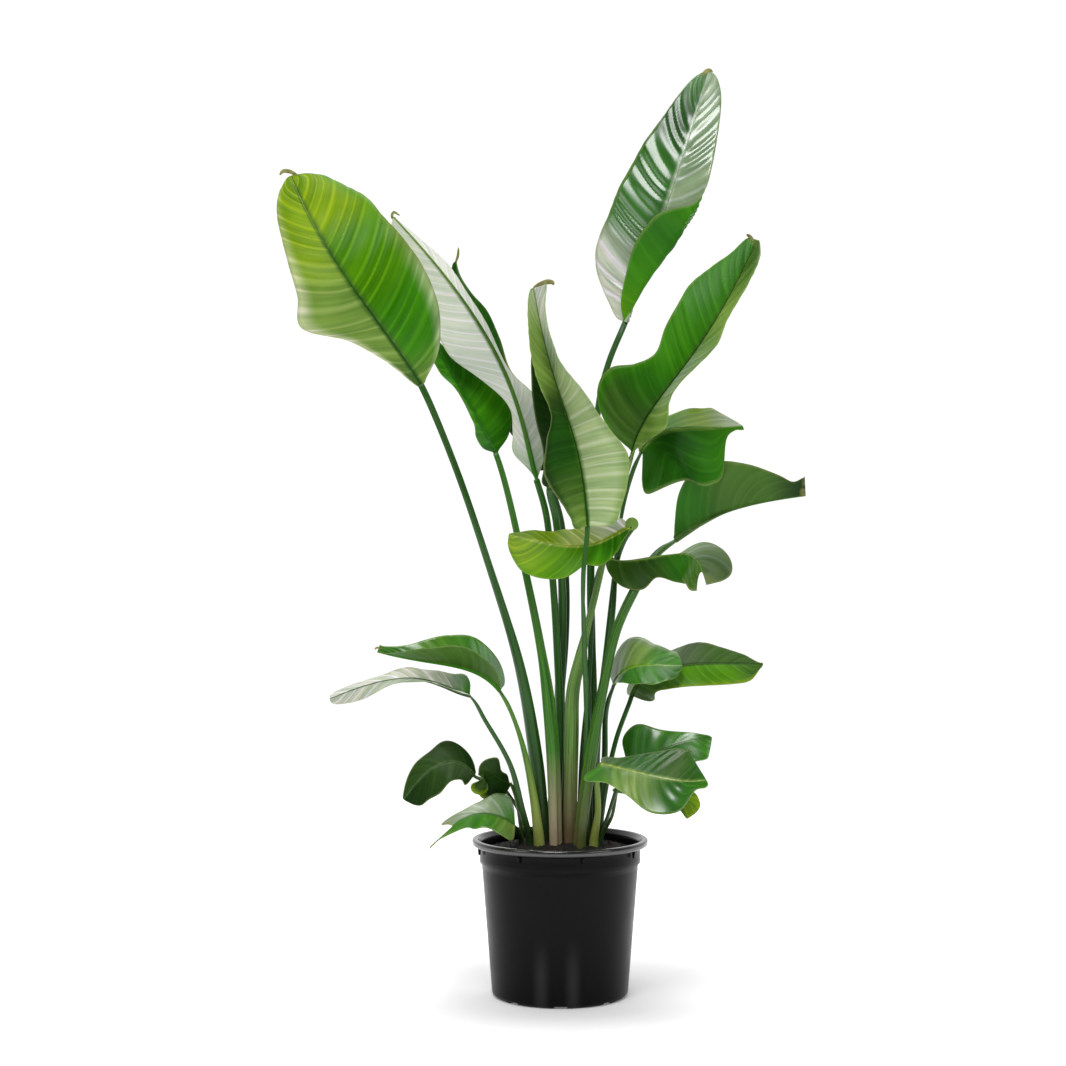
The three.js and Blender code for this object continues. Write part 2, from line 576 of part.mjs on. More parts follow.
function potGeometry() {
  const corner = [15, 45, 75].map((degrees) => [
    WALL_FOOT_RADIUS - FOOT_CORNER * (1 - Math.sin(radians(degrees))),
    FOOT_CORNER * (1 - Math.cos(radians(degrees))),
  ]);
  const beadFoot = RIM_TOP - RIM_BEAD;
  const profile = [
    [0, 0],
    [WALL_FOOT_RADIUS - FOOT_CORNER, 0],
    ...corner,
    [WALL_FOOT_RADIUS, FOOT_CORNER],
    [WALL_TOP_RADIUS, COLLAR_FOOT - 2],
    [COLLAR_RADIUS, COLLAR_FOOT],
    [COLLAR_RADIUS, beadFoot - 2],
    [RIM_RADIUS - 2, beadFoot],
    [RIM_RADIUS, beadFoot + 3],
    [RIM_RADIUS, RIM_TOP - 3],
    [RIM_RADIUS - 2.5, RIM_TOP],
    [RIM_RADIUS - 6, RIM_TOP],
    [COLLAR_RADIUS - WALL, beadFoot + 2],
    [COLLAR_RADIUS - WALL, COLLAR_FOOT + 1],
    [WALL_TOP_RADIUS - WALL, COLLAR_FOOT - 2],
    [wallRadius(FOOT_CORNER + 2) - WALL, FOOT_CORNER + 2],
    [WALL_FOOT_RADIUS - FOOT_CORNER, FLOOR],
    [0, FLOOR],
  ];
  let pot = solid(turned(profile));
  for (let k = 0; k < FIN_COUNT; k++) {
    const angle = radians(-90 + 15 + (360 / FIN_COUNT) * k);
    pot = pot.add(solid(boxAround(angle, FIN.radius, beadFoot + 2 - FIN.height, FIN)));
  }
  for (let k = 0; k < NOTCH_COUNT; k++) {
    const angle = radians(-90 + (360 / NOTCH_COUNT) * k);
    const cutter = { ...NOTCH, height: 2 * NOTCH.height };
    pot = pot.subtract(solid(boxAround(angle, NOTCH.radius, -NOTCH.height, cutter)));
  }
  return geometryOf(pot);
}

// The soil: it fills the pot to just under the collar's top, a little higher in the middle and lumpy.
function soilGeometry() {
  const inside = (z) => wallRadius(z) - WALL - SIDE_GAP;
  const collar = COLLAR_RADIUS - WALL - SIDE_GAP;
  const crown = [0.84, 0.66, 0.46, 0.24].map((share) => [
    collar * share,
    SOIL_EDGE + (SOIL_CROWN - SOIL_EDGE) * (1 - share * share),
  ]);
  const profile = [
    [0, FLOOR + GAP],
    [WALL_FOOT_RADIUS - FOOT_CORNER - 1, FLOOR + GAP],
    [inside(FOOT_CORNER + 3), FOOT_CORNER + 3],
    [inside(COLLAR_FOOT - 2), COLLAR_FOOT - 2],
    [collar, COLLAR_FOOT + 3],
    [collar, SOIL_EDGE],
    ...crown,
    [0, SOIL_CROWN],
  ];
  const body = turned(profile);
  const points = body.attributes.position;
  for (let i = 0; i < points.count; i++) {
    const [x, y, z] = [points.getX(i), points.getY(i), points.getZ(i)];
    const turn = (2 * Math.PI) / SOIL_LUMP.period;
    const wave = Math.sin(turn * x + 1) * Math.cos(turn * y);
    if (z > SOIL_EDGE + 1) points.setZ(i, z + SOIL_LUMP.height * wave);
  }
  const holed = LEAVES.reduce((soil, leaf) => soil.subtract(solid(holeGeometry(leaf))), solid(body));
  return geometryOf(holed);
}

function mesh(name, geometry, color, roughness) {
  const made = new THREE.Mesh(geometry, new THREE.MeshStandardMaterial({ color, roughness, metalness: 0 }));
  made.name = name;
  return made;
}

const plant = new THREE.Group();
plant.add(mesh("pot", potGeometry(), 0x252525, 0.45));
plant.add(mesh("soil", soilGeometry(), 0x221c19, 0.95));
for (const leaf of LEAVES) {
  plant.add(mesh("stalk_" + leaf.name, stalkGeometry(leaf), STALK_GREEN, 0.5));
  plant.add(mesh("blade_" + leaf.name, bladeGeometry(leaf), GREENS[leaf.tone], 0.4));
}

export default plant;
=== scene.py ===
"""A giant white bird of paradise in a black nursery pot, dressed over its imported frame."""

import bpy
import numpy as np
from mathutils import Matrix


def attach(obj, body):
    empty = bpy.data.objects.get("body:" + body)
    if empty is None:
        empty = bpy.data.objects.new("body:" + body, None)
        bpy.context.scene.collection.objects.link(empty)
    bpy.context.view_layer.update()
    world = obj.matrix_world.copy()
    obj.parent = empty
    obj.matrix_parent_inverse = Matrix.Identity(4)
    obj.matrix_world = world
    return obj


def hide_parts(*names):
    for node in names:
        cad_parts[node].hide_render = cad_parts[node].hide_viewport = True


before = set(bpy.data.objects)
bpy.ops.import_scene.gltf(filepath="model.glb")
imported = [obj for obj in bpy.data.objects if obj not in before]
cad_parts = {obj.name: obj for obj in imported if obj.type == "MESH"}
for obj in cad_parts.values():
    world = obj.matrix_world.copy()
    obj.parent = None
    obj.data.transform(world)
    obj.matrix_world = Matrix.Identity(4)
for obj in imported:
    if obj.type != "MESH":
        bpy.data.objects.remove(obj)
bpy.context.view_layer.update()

bl_info = {
    "name": "Potted Bird of Paradise",
    "version": (1, 0, 0),
    "blender": (4, 5, 0),
    "location": "View3D > Sidebar > Plant",
    "description": "Makes a clump of pleated, long-stalked leaves in a black nursery pot",
    "category": "Object",
}

MM = 0.001
SEED = 20

# The leaves, in millimetres and degrees. foot is (x, y, half-width), stalk its points (x, y, z, half-width),
# and start the half-width where the blade starts; rib is the midrib's four points; face is the way the upper
# side looks, or the two ways at the start and at the tip; then come the widths, folds and curls of each
# half-blade. roll is the stretch of the half-blade, from 0 at the midrib to 1 at the margin, over which it
# curls; tail draws it out at the tip; wave is the height and number of the margin's waves; sweep and lobe
# lean the margin forward and its base back; lean is the slope of the veins, and veins and pleat their spacing
# and height; dry is how far the tip is withered. slot is the record's material, skin the upper side's, stem
# the stalk's. tone and under are the colours of the upper and the lower side from the start to the tip, rim
# those of the upper side's margin, and vein those of the midrib's middle and flanks. One value stands for a
# list of equal ones, and a curl left out is 0.
# Some of the tones below are painted light and shade rather than the leaves' own colour, as noted at those
# leaves.
LEAVES = [
    dict(
        name="broad_left", slot="young", skin="thin", stem="dark", under="fog straw",
        vein=("deep deep green straw", "moss"),
        foot=(-24, -3, 11), start=4.8,
        stalk=[(-34, -8, 340, 12.3), (-59, -25, 483, 9.2), (-105, -45, 634, 6.2), (-154, -60, 777, 5)],
        rib=[(-199, -70, 884), (-255, -118, 966), (-320, -128, 1060), (-386, -60, 1184)],
        face=((0.1, -1, 0.1), (0.1, -1, 0.2)),
        left=dict(tone="moss sage sage lime lime", rim="cream cream straw", fold=(-30, 5, 5),
            curl=(0, -10, -15), width=(8, 13, 20, 31, 50, 92, 72, 60, 50, 41, 28, 12, 1.6)),
        right=dict(tone="sage leaf leaf spring spring lime lime", rim="pale pale sage spring spring",
            fold=(10, 8, 5), curl=(-5, -15, -20), width=(15, 54, 85, 99, 98, 93, 86, 66, 44, 11)),
        wave=(2, 3), veins=1.25, pleat=2.6, dry=0.3,
    ),
    dict(
        name="wavy_left", slot="deep", skin="satin", stem="pinkish", under="fog", vein=("green", "green"),
        foot=(-6, -31, 11), start=4.2,
        stalk=[(-10, -28, 345, 11.2), (-17, -24, 431, 10.2), (-27, -18, 500, 7), (-51, -5, 619, 5.5)],
        rib=[(-94, 15, 790), (-126, 5, 850), (-158, 8, 905), (-193, 18, 957)], face=(0.2, -1, 0.2),
        left=dict(tone="green leaf leaf green", fold=-50, curl=-10,
            width=(5, 18, 20, 8, 12, 4, 16, 15, 18, 15, 10, 4)),
        right=dict(tone="green leaf green green", fold=10, curl=-15,
            width=(9, 32, 49, 51, 45, 40, 23, 15, 13, 11, 8, 4)),
        wave=(4, 4), pleat=1.0,
    ),
    dict(
        name="silver_left", slot="silver", skin="satin", stem="green",
        under="fog silver silver white white", vein=("deep", "green moss moss sage"),
        foot=(-5, 8, 8), start=4.6,
        stalk=[(0, 6, 400, 7), (-4, 6, 502, 6.2), (-10, 5, 597, 5.6), (-20, 2, 699, 5)],
        rib=[(-34, 0, 750), (-58, -35, 843), (-112, -40, 965), (-243, 0, 1134)],
        face=((0, 1, 0.2), (0, 1, 0.4)),
        left=dict(tone="green", fold=(15, 28, 72, 66, 62), curl=5,
            width=(4, 14, 30, 42, 38, 27, 19, 18, 27, 13, 4, 3)),
        right=dict(tone="green", fold=(20, 15, 10), curl=(10, 10, 5),
            width=(1.6, 10, 27, 18, 13, 40, 66, 62, 46, 30, 15, 4)),
        wave=(3, 3), lean=1.1, veins=0.7, pleat=0.9,
    ),
    dict(
        name="dark_left", slot="dark", skin="satin", stem="dark", under="olive moss",
        vein=("green", "deep"),
        foot=(-14, 30, 7), start=4.4,
        stalk=[(-2, 39, 400, 6.5), (8, 41, 520, 6), (9, 42, 600, 5.6), (2, 43, 690, 5)],
        rib=[(-20, 45, 766), (-56, 34, 851), (-115, 30, 958), (-154, 50, 1076)], face=(0.2, -1, 0.2),
        # Partly painted shade: the night tones darken the leaf's own deep green where it lies in shade.
        left=dict(tone="night deep", fold=(-40, -40, -30), curl=-5, width=(16, 28, 34, 34, 28, 20, 10, 2)),
        right=dict(tone="night deep green", rim="straw straw deep deep", fold=5, curl=-10,
            width=(1.6, 1.6, 10, 36, 30, 17, 26, 27, 13, 4, 1.6, 1.6)),
        wave=(2, 3), pleat=1.0,
    ),
    dict(
        name="folded_centre", slot="pleated", skin="satin", stem="green", under="fog sage",
        vein=("deep", "moss"),
        foot=(38, -12, 5), start=3.6,
        stalk=[(39, -14, 343, 4.8), (39, -24, 402, 4.4), (34, -54, 519, 3.8), (32, -85, 613, 3.6)],
        rib=[(38, -88, 683), (20, -102, 799), (-7, -95, 885), (-39, -62, 1023)], face=(0.34, -1, 0.1),
        # Painted shade and highlight: the left half's dark tones stand in for its shade, and the right half's
        # pale, mist and silver tones are a painted highlight.
        left=dict(tone="sage moss deep deep olive sage sage pale",
            rim="moss night night night sage sage pale", fold=(28, 35, 42),
            width=(28, 36, 52, 72, 86, 70, 38, 42, 45, 46, 36, 25, 13, 1.6)),
        right=dict(tone="pale pale pale pale pale mist silver", rim="sage mist", fold=(28, 42, 60, 85, 35),
            curl=(0, 0, 10), width=(38, 50, 64, 74, 60, 52, 43, 35, 15, 13, 19, 22)),
        wave=(1.5, 4), sweep=-0.1, lean=0.15, veins=0.95, pleat=2.2,
    ),
    dict(
        name="hidden_centre", slot="dark", skin="satin", stem="green", under="olive moss",
        vein=("moss", "olive"),
        foot=(8, 26, 9), start=4.6,
        stalk=[(0, 24, 427, 8), (3, 22, 516, 7), (3, 14, 597, 6.2), (-6, 0, 692, 5.2)],
        rib=[(-16, -15, 738), (-6, -38, 796), (-15, -45, 864), (-38, -40, 934)], face=(-0.2, -1, 0.1),
        left=dict(tone="night", fold=10, width=(14, 16, 20, 26, 24, 16, 8, 1.6)),
        right=dict(tone="night olive", fold=40, width=(14, 20, 24, 24, 20, 14, 8, 1.6)),
        wave=(1, 2), pleat=0.8,
    ),
    dict(
        name="tall_right", slot="glossy", skin="glossy", stem="green",
        under="spring leaf green leaf fog fog mist", vein=("fog", "mist"),
        foot=(44, 27, 8), start=4.4,
        stalk=[
            (49, 27, 427, 7), (47, 27, 515, 6.5), (46, 31, 633, 6),
            (57, 50, 856, 5), (72, 55, 923, 4.6),
        ],
        rib=[(98, 60, 987), (142, 50, 1108), (179, 50, 1219), (225, 90, 1366)],
        face=((-0.1, -1, 0.2), (-0.1, -1, 0.3)),
        # Painted reflection: the silver tones at the start of the left half stand in for a reflection.
        left=dict(tone="silver silver green green green deep green", fold=(-2, -8, -14, -14),
            curl=(-16, -4, 8, 10), width=(31, 80, 84, 78, 65, 45, 25, 4)),
        right=dict(tone="fog", rim="fog", fold=(5, 10, 10),
            curl=(182, 182, 182, 182, 182, 140, 0, 0, 0, 0, 0),
            width=(10, 30, 50, 76, 90, 54, 50, 44, 38, 29, 16, 4),
            roll=((0.05, 0.12, 0.2, 0.3, 0.43, 0.82, 0.95, 0.95, 0.95, 0.95, 0.95),
            (0.25, 0.34, 0.4, 0.47, 0.59, 0.94, 1, 1, 1, 1, 1))),
        wave=(2, 4), veins=1.35, pleat=2.7,
    ),
    dict(
        name="long_right", slot="glossy", skin="satin", stem="cream", under="fog sage",
        vein=("deep", "moss"),
        foot=(13, -11, 12.5), start=4.8,
        stalk=[
            (15.6, -9, 373, 13.5), (18, -9, 444, 12.6), (28.5, -8, 490, 10.5),
            (38, -8, 530, 6.6), (58, -6, 612, 5.6), (75, -5, 692, 5.2),
        ],
        rib=[(101, -20, 780), (136, -45, 857), (200, -50, 943), (285, -20, 1098)], face=(-0.57, -0.8, 0.2),
        left=dict(tone="moss moss green leaf leaf leaf", rim="leaf", fold=(35, 35, 30),
            curl=(-10, -10, -15), width=(1.6, 4, 50, 81, 84, 59, 45, 56, 59, 60, 45, 27, 18, 11)),
        right=dict(tone="sage sage fog sage moss", rim="sage", fold=(25, 38, 35), curl=-5,
            width=(1.6, 11, 39, 66, 42, 24, 65, 36, 45, 41, 19, 1.6)),
        wave=(2.5, 4), veins=1.15, pleat=1.4, dry=0.6,
    ),
    dict(
        name="hooded_right", slot="deep", skin="satin", stem="green", under="moss green",
        vein=("leaf", "sage"),
        foot=(52, 12, 4.5), start=4,
        stalk=[
            (59, 10, 429, 4.4), (67, 16, 502, 4), (79, 27, 604, 3.6),
            (91, 30, 699, 3.4), (103, 24, 751, 4),
        ],
        rib=[(118, 14, 792), (154, 6, 824), (205, 4, 828), (269, 20, 830)], face=(0, -0.3, 1),
        left=dict(tone="sage spring lime mist", rim="spring lime lime cream", fold=8, curl=(0, 5, 5),
            width=(8, 25, 49, 62, 72, 65, 38, 1.6)),
        right=dict(tone="green deep green leaf", fold=(-45, -55, -55, -52, -50), curl=-10,
            width=(30, 54, 76, 88, 90, 90, 88, 75, 20, 6, 6, 6)),
        wave=(1.5, 3), lobe=2.2, lean=2.5, pleat=0.6, dry=0.5,
    ),
    dict(
        name="arched_right", slot="dark", skin="satin", stem="olive", under="green green moss moss night",
        vein=("moss", "moss"),
        foot=(27, -37, 11.5), start=5,
        stalk=[
            (43, -36, 346, 10.5), (60, -34, 441, 8.5), (81, -22, 531, 8),
            (108, -8, 589, 8), (139, 12, 639, 6.5),
        ],
        rib=[(169, 22, 663), (222, 30, 694), (281, 36, 714), (364, 40, 728)], face=(0, -0.1, 1),
        left=dict(tone="sage olive", fold=(-30, 20, 55, 55, 55), width=(18, 36, 56, 60, 50, 34, 20, 8)),
        right=dict(tone="deep", fold=(75, 75, 70), width=(8, 27, 64, 84, 82, 76, 65, 52, 39, 26, 29, 32)),
        wave=(1.5, 3), pleat=1.5, dry=0.7,
    ),
    dict(
        name="bright_boat", slot="bright", skin="thin", stem="dark", under="leaf spring",
        vein=("lime", "straw"),
        foot=(52, -4, 4.6), start=4,
        stalk=[
            (52, -2, 350, 4.5), (66, -3, 450, 4.2), (78, 6, 560, 4),
            (84, 17, 630, 3.8), (95, 12, 662, 3.8), (110, -16, 686, 3.8),
        ],
        rib=[(100, -42, 683), (57, -58, 661), (11, -62, 655), (-74, -48, 671)], face=(0, -0.45, 0.9),
        left=dict(tone="leaf leaf spring lime", rim="spring", fold=(-45, -45, -40),
            width=(5, 9, 14, 23, 30, 33, 30, 47, 53, 54, 49, 34, 18, 1.6)),
        right=dict(tone="white cream straw straw lime sage", fold=(12, 12, 10),
            width=(23, 27, 37, 43, 40, 39, 26, 23, 8, 1.6)),
        wave=(2, 3), pleat=0.4,
    ),
    dict(
        name="split_right", slot="dark", skin="satin", stem="dark", under="olive", vein=("sage", "moss"),
        foot=(28, 22, 4.6), start=3.8,
        stalk=[(33, 20, 350, 4.5), (42, 14, 450, 4.2), (48, 12, 560, 4), (55, 10, 612, 3.8)],
        rib=[(67, 8, 638), (123, -8, 635), (175, -25, 643), (204, -40, 617)],
        face=((0, -0.3, 1), (0.2, -0.9, 0.2)),
        left=dict(tone="olive grey fog grey", fold=(25, 10, 0), tail=20,
            width=(7, 1.6, 1.6, 1.6, 1.6, 1.6, 30, 45, 37, 2.3)),
        right=dict(tone="moss olive green moss", fold=(-50, -45, -10), tail=26,
            width=(7, 22, 40, 45, 30, 41, 44, 40, 35, 30, 23, 13)),
        wave=(1.5, 2), pleat=0.9,
    ),
    dict(
        name="low_left_upper", slot="glossy", skin="glossy", stem="young", under="moss moss moss green",
        vein=("moss", "leaf"),
        foot=(-30, -30, 10), start=3.8, stalk=[(-46, -35, 334, 6), (-66, -42, 404, 4)],
        rib=[(-87, -45, 447), (-130, -60, 477), (-186, -70, 489), (-262, -60, 503)], face=(0, -0.35, 0.94),
        left=dict(tone="leaf green", fold=(48, 50, 50), width=(10, 31, 50, 60, 38, 18, 1.9, 1.6)),
        right=dict(tone="green leaf spring leaf", fold=50, width=(18, 37, 49, 44, 32, 18, 11, 11)),
        wave=(1.5, 3), pleat=1.0,
    ),
    dict(
        name="low_left_lower", slot="dark", skin="glossy", stem="dark", under="silver silver cream silver",
        vein=("moss", "olive"),
        foot=(-44, -20, 6), start=3.4,
        stalk=[(-55, -35, 273, 5.6), (-72, -50, 340, 4.2), (-108, -65, 406, 3.6)],
        rib=[(-129, -70, 442), (-171, -85, 458), (-227, -95, 467), (-327, -90, 438)], face=(0, -0.1, 1),
        # Painted reflection: the silver and white tones of the right half stand in for a reflection.
        left=dict(tone="leaf fog mist silver", fold=(10, 0, -45), width=(10, 24, 27, 16, 19, 24, 17, 5)),
        right=dict(tone="leaf silver white white", fold=(35, 30, 15),
            width=(40, 36, 28, 25, 21, 17, 18, 14)),
        wave=(2, 3), pleat=1.0,
    ),
    dict(
        name="round_left", slot="dark", skin="satin", stem="dark", under="olive grey",
        vein=("olive", "grey"),
        foot=(-44, 13, 4.5), start=3.2, stalk=[(-52, 20, 250, 4), (-84, 14, 300, 3.4)],
        rib=[(-125, -20, 321), (-152, -40, 343), (-187, -52, 333), (-224, -58, 291)],
        face=(-0.2, -0.7, 0.7),
        left=dict(tone="olive olive night", fold=5, curl=-10, width=(22, 26, 36, 42, 44, 37, 29, 4)),
        right=dict(tone="night olive olive", fold=5, curl=-10, width=(9, 25, 39, 32, 26, 18, 8, 1.6)),
        wave=(2, 2), pleat=0.6,
    ),
    dict(
        name="curled_left", slot="young", skin="satin", stem="green", under="lime sage",
        vein=("olive", "night"),
        foot=(-55, 4, 3.6), start=2.8, stalk=[(-58, 2, 250, 3.4), (-64, -1, 285, 3)],
        rib=[(-71, -5, 307), (-92, -18, 319), (-106, -26, 328), (-118, -30, 323)], face=(-0.1, -0.8, 0.5),
        left=dict(tone="night olive", rim="lime", fold=(-50, -60, -60),
            width=(24, 40, 36, 31, 38, 35, 15, 1.6)),
        right=dict(tone="night olive", fold=30, curl=10, width=(1.6, 11, 12, 24, 18, 9, 2.5, 1.6)),
        wave=(1, 2), pleat=0.6,
    ),
    dict(
        name="forked_left", slot="glossy", skin="glossy", stem="dark", under="olive moss",
        vein=("moss", "green"),
        foot=(-57, -14, 3.6), start=3, stalk=[(-60, -25, 238, 3.2)],
        rib=[(-65, -50, 254), (-94, -66, 270), (-125, -76, 272), (-154, -84, 257)], face=(0, -0.6, 0.8),
        left=dict(tone="sage leaf leaf", fold=-5, curl=(-20, -10, 0), tail=46,
            width=(29, 30, 28, 24, 24, 15, 1.6, 1.6)),
        # Painted highlight: the right half's fog and mist tones stand in for a glossy highlight.
        right=dict(tone="leaf fog mist fog", fold=5, curl=(-10, -10, 0), tail=10,
            width=(52, 49, 36, 24, 14, 14, 15, 13)),
        wave=(2, 2), pleat=0.9, dry=1.0,
    ),
    dict(
        name="shiny_right", slot="glossy", skin="glossy", stem="dark", under="fog sage",
        vein=("lime", "spring"),
        foot=(56, 30, 4.6), start=4, stalk=[(66, 28, 340, 5), (68, 25, 410, 4.4)],
        rib=[(78, 10, 451), (105, -15, 478), (143, -30, 482), (176, -35, 482)], face=(0, -0.55, 0.84),
        left=dict(tone="fog sage leaf leaf", rim="fog", fold=15, width=(29, 56, 54, 38, 31, 25, 17, 9)),
        right=dict(tone="green leaf green", fold=-10, width=(1.6, 21, 36, 40, 33, 25, 9, 1.6)),
        wave=(2, 3), pleat=1.0,
    ),
    dict(
        name="flat_right", slot="deep", skin="satin", stem="dark", under="lime moss",
        vein=("moss", "olive"),
        foot=(57, -8, 4.6), start=3.6, stalk=[(66, -10, 300, 4.4), (82, -2, 372, 3.8)],
        rib=[(105, 10, 434), (144, 0, 472), (216, -20, 484), (293, -30, 484)], face=(0, -0.5, 0.86),
        left=dict(tone="white mist grey moss moss", fold=10, width=(10, 16, 28, 46, 35, 20, 4, 1.6)),
        right=dict(tone="grey moss spring spring moss", rim="grey lime lime", fold=-30, curl=(30, 30, 20),
            width=(28, 38, 37, 40, 45, 41, 39, 31, 10, 1.6)),
        wave=(1.5, 3), pleat=0.8, dry=0.4,
    ),
    dict(
        name="lobed_right", slot="glossy", skin="glossy", stem="dark", under="fog sage",
        vein=("moss", "green"),
        foot=(54, -24, 4), start=3.4, stalk=[(68, -25, 262, 3.6), (82, -26, 303, 3.4)],
        rib=[(97, -28, 332), (122, -38, 349), (172, -44, 371), (218, -40, 375)], face=(-0.2, -0.7, 0.7),
        left=dict(tone="deep green leaf green", fold=10, width=(36, 53, 54, 33, 17, 8, 6, 4)),
        right=dict(tone="deep green leaf", fold=(-30, -30, -20), width=(25, 30, 34, 35, 33, 32, 26, 12)),
        wave=(2, 2), pleat=0.9,
    ),
    dict(
        name="glossy_right", slot="glossy", skin="glossy", stem="young", under="fog sage",
        vein=("straw", "sage"),
        foot=(48, -32, 7), start=4, stalk=[(54, -42, 270, 4.6)],
        rib=[(56, -70, 344), (105, -100, 336), (156, -118, 327), (204, -112, 326)], face=(0, -0.75, 0.65),
        left=dict(tone="moss green moss green", fold=0, width=(14, 18, 36, 56, 52, 51, 39, 5)),
        right=dict(tone="leaf sage green leaf", fold=0, curl=-10, width=(32, 30, 40, 58, 50, 16, 12, 6)),
        wave=(2, 2), lobe=1.0, pleat=1.2,
    ),
    dict(
        name="small_right", slot="young", skin="thin", stem="green", under="lime sage",
        vein=("sage", "leaf"),
        foot=(60, 9, 3.4), start=3, stalk=[(76, 5, 260, 3.4)],
        rib=[(85, 0, 303), (117, -18, 301), (164, -30, 294), (199, -30, 272)], face=(0.1, -0.5, 0.8),
        left=dict(tone="green leaf lime", fold=0, width=(16, 18, 19, 20, 21, 24, 16, 7)),
        right=dict(tone="leaf leaf lime", fold=0, width=(15, 16, 17, 18, 24, 35, 18, 1.6)),
        wave=(1, 2), pleat=0.6,
    ),
]

# The dried ends of the tips, in millimetres: half-width, and points from the leaf outwards.
DRY_TIPS = (
    (3.0, ((-372, -60, 1181), (-385, -62, 1189), (-396, -64, 1190), (-401, -66, 1184))),
    (2.2, ((-236, 0, 1128), (-245, 2, 1134), (-243, 4, 1142), (-234, 4, 1137))),
    (2.0, ((-156, 50, 1070), (-151, 50, 1084), (-150, 50, 1097))),
    (3.6, ((-39, -62, 1024), (-29, -62, 1029), (-19, -63, 1032), (-12, -64, 1031), (-10, -64, 1027))),
    (3.6, ((214, 90, 1360), (223, 90, 1368), (231, 90, 1366))),
    (2.6, ((282, -20, 1093), (276, -20, 1102), (270, -20, 1106))),
    (1.6, ((-254, -60, 506), (-262, -60, 509), (-266, -61, 506))),
)
TIP_RINGS = 14
TIP_SIDES = 8
# The small lobe of the boat-shaped leaf that rolls toward the front: a wavy dish.
LOBE_CENTRE = (103, -44, 686)
LOBE_RADIUS = 9.5
LOBE_DEPTH = 2.4
LOBE_HALF_THICK = 0.4
LOBE_WAVE = 0.9

# What a leaf has where its own entry names nothing else
VEIN_SWEEP = 0.28
LOBE_SWEEP = 0.22
VEIN_LEAN = 0.45
TIP_LEAN = 0.9
TIP_DRYNESS = 0.35
# A blade is thinner at the margin. Its keel is measured by the half-width where the blade starts, and the
# channel above by the keel. The columns of points across the midrib are shares of its half-width.
BLADE_HALF_THICK = 0.35
MARGIN_THINNING = 0.12
KEEL_DEPTH = 1.05
KEEL_TAPER = 0.85
CHANNEL_DEPTH = 0.22
RIB_COLUMNS = (0, 0.3, 0.6, 0.85, 1.0)
WEB_COLUMNS = 14
# How far the veins wander, how soft the pleats' creases are, the height that counts as a pleat's middle, and
# the half-width from which pleats stand at their full height.
VEIN_WANDER = 0.22
PLEAT_SOFTENING = 0.04
PLEAT_MIDDLE = 0.62
PLEAT_FULL_WIDTH = 45
# The stalks: their roots in the soil, the height where they come clear of it, and how oval they are.
STALK_ROOT = 172
STALK_CLEAR_OF_SOIL = 224
STALK_SIDES = 32
STALK_OVAL = 0.86
# The groove of a stalk and what the sheath adds to it, the sheath's raised edges, as angles from the groove's
# middle in radians, the faint ribs, and how far below the blade the groove ends.
GROOVE_DEPTH = 0.3
GROOVE_ANGLE = 0.42
SHEATH_DEEPENING = 0.25
SHEATH_WIDENING = 0.25
EDGE_ANGLE = 0.85
EDGE_BREADTH = 0.16
EDGE_HEIGHT = 0.1
FAINT_RIBS = 9
RIB_HEIGHT = 0.012
GROOVE_END = 26

# The pot's wall, the notches at its foot, whose sides slope over an angle in radians, the innermost ring of
# its floor, and the fins on its collar, two of which, at the front, lie flatter.
FOOT_RADIUS = 99.5
FOOT_CORNER = 8
WALL_TOP_RADIUS = 114
WALL_TOP = 192
WALL = 2.2
POT_FLOOR = 3
NOTCHES = 8
NOTCH_WIDTH = 20
NOTCH_HEIGHT = 3.8
NOTCH_INNER_RADIUS = 83
NOTCH_SLOPE = 0.004
INNERMOST = 0.02
FINS = 8
FIN_SIZE = (4.5, 3.4, 13)
FIN_TAPER = 0.6
FIN_FOOT = 208
FIN_REACH = 121
FRONT_FIN_SUNK = 2.6
# The soil, and the bits of bark on it
SOIL_FLOOR = 12
SOIL_EDGE = 209
SOIL_CROWN = 225
SOIL_RADIUS = 113.5
MOUND_RADIUS = 114
GRIT = 0.5
BARK_COUNT = 650
BARK_SPREAD = 110

# The stage, in metres: the camera, and each panel's name, place, target, width, height and watts
FLOOR_RADIUS = 2.3
CAMERA_PLACE = (-0.0394, -3.0, 0.673)
CAMERA_LENS = 69.4
SENSOR_WIDTH = 36
# How bright the surroundings are from in front of the plant and from behind it
FRONT_STRENGTH = 0.12
BACK_STRENGTH = 1.06
PANELS = (
    ("key_panel", (-0.45, -2.1, 3.2), (0, 0, 0.9), 1.4, 1.1, 54),
    ("top_panel", (-0.1, 0.5, 3.0), (0, 0, 0.5), 1.8, 1.6, 26),
    ("fill_panel", (2.4, -1.8, 1.3), (0, 0, 0.8), 1.6, 2.0, 17),
    ("left_panel", (-2.3, -1.7, 1.5), (0, 0, 1.0), 1.0, 1.2, 12),
)


# Colours


def linear(code):
    """Turns an sRGB hex colour into linear red, green and blue: below 0.04045 a straight line, above it the
    power 2.4 of the shifted value."""
    srgb = np.array([int(code[i : i + 2], 16) for i in (0, 2, 4)]) / 255
    return tuple(np.where(srgb < 0.04045, srgb / 12.92, ((srgb + 0.055) / 1.055) ** 2.4))


# The greens that a leaf is tinted with, from the darkest shade to the palest underside.
TONES = {
    "night": "133205",
    "deep": "1a500a",
    "green": "2a6c0c",
    "leaf": "3a840a",
    "spring": "549408",
    "lime": "80a60a",
    "straw": "a9c05a",
    "cream": "cdd8b0",
    "sage": "769a44",
    "moss": "436b24",
    "olive": "2c4b19",
    "grey": "4c653e",
    "fog": "8aa480",
    "pale": "a8c08c",
    "mist": "a8bca2",
    "silver": "c6cec2",
    "white": "e2e8de",
}
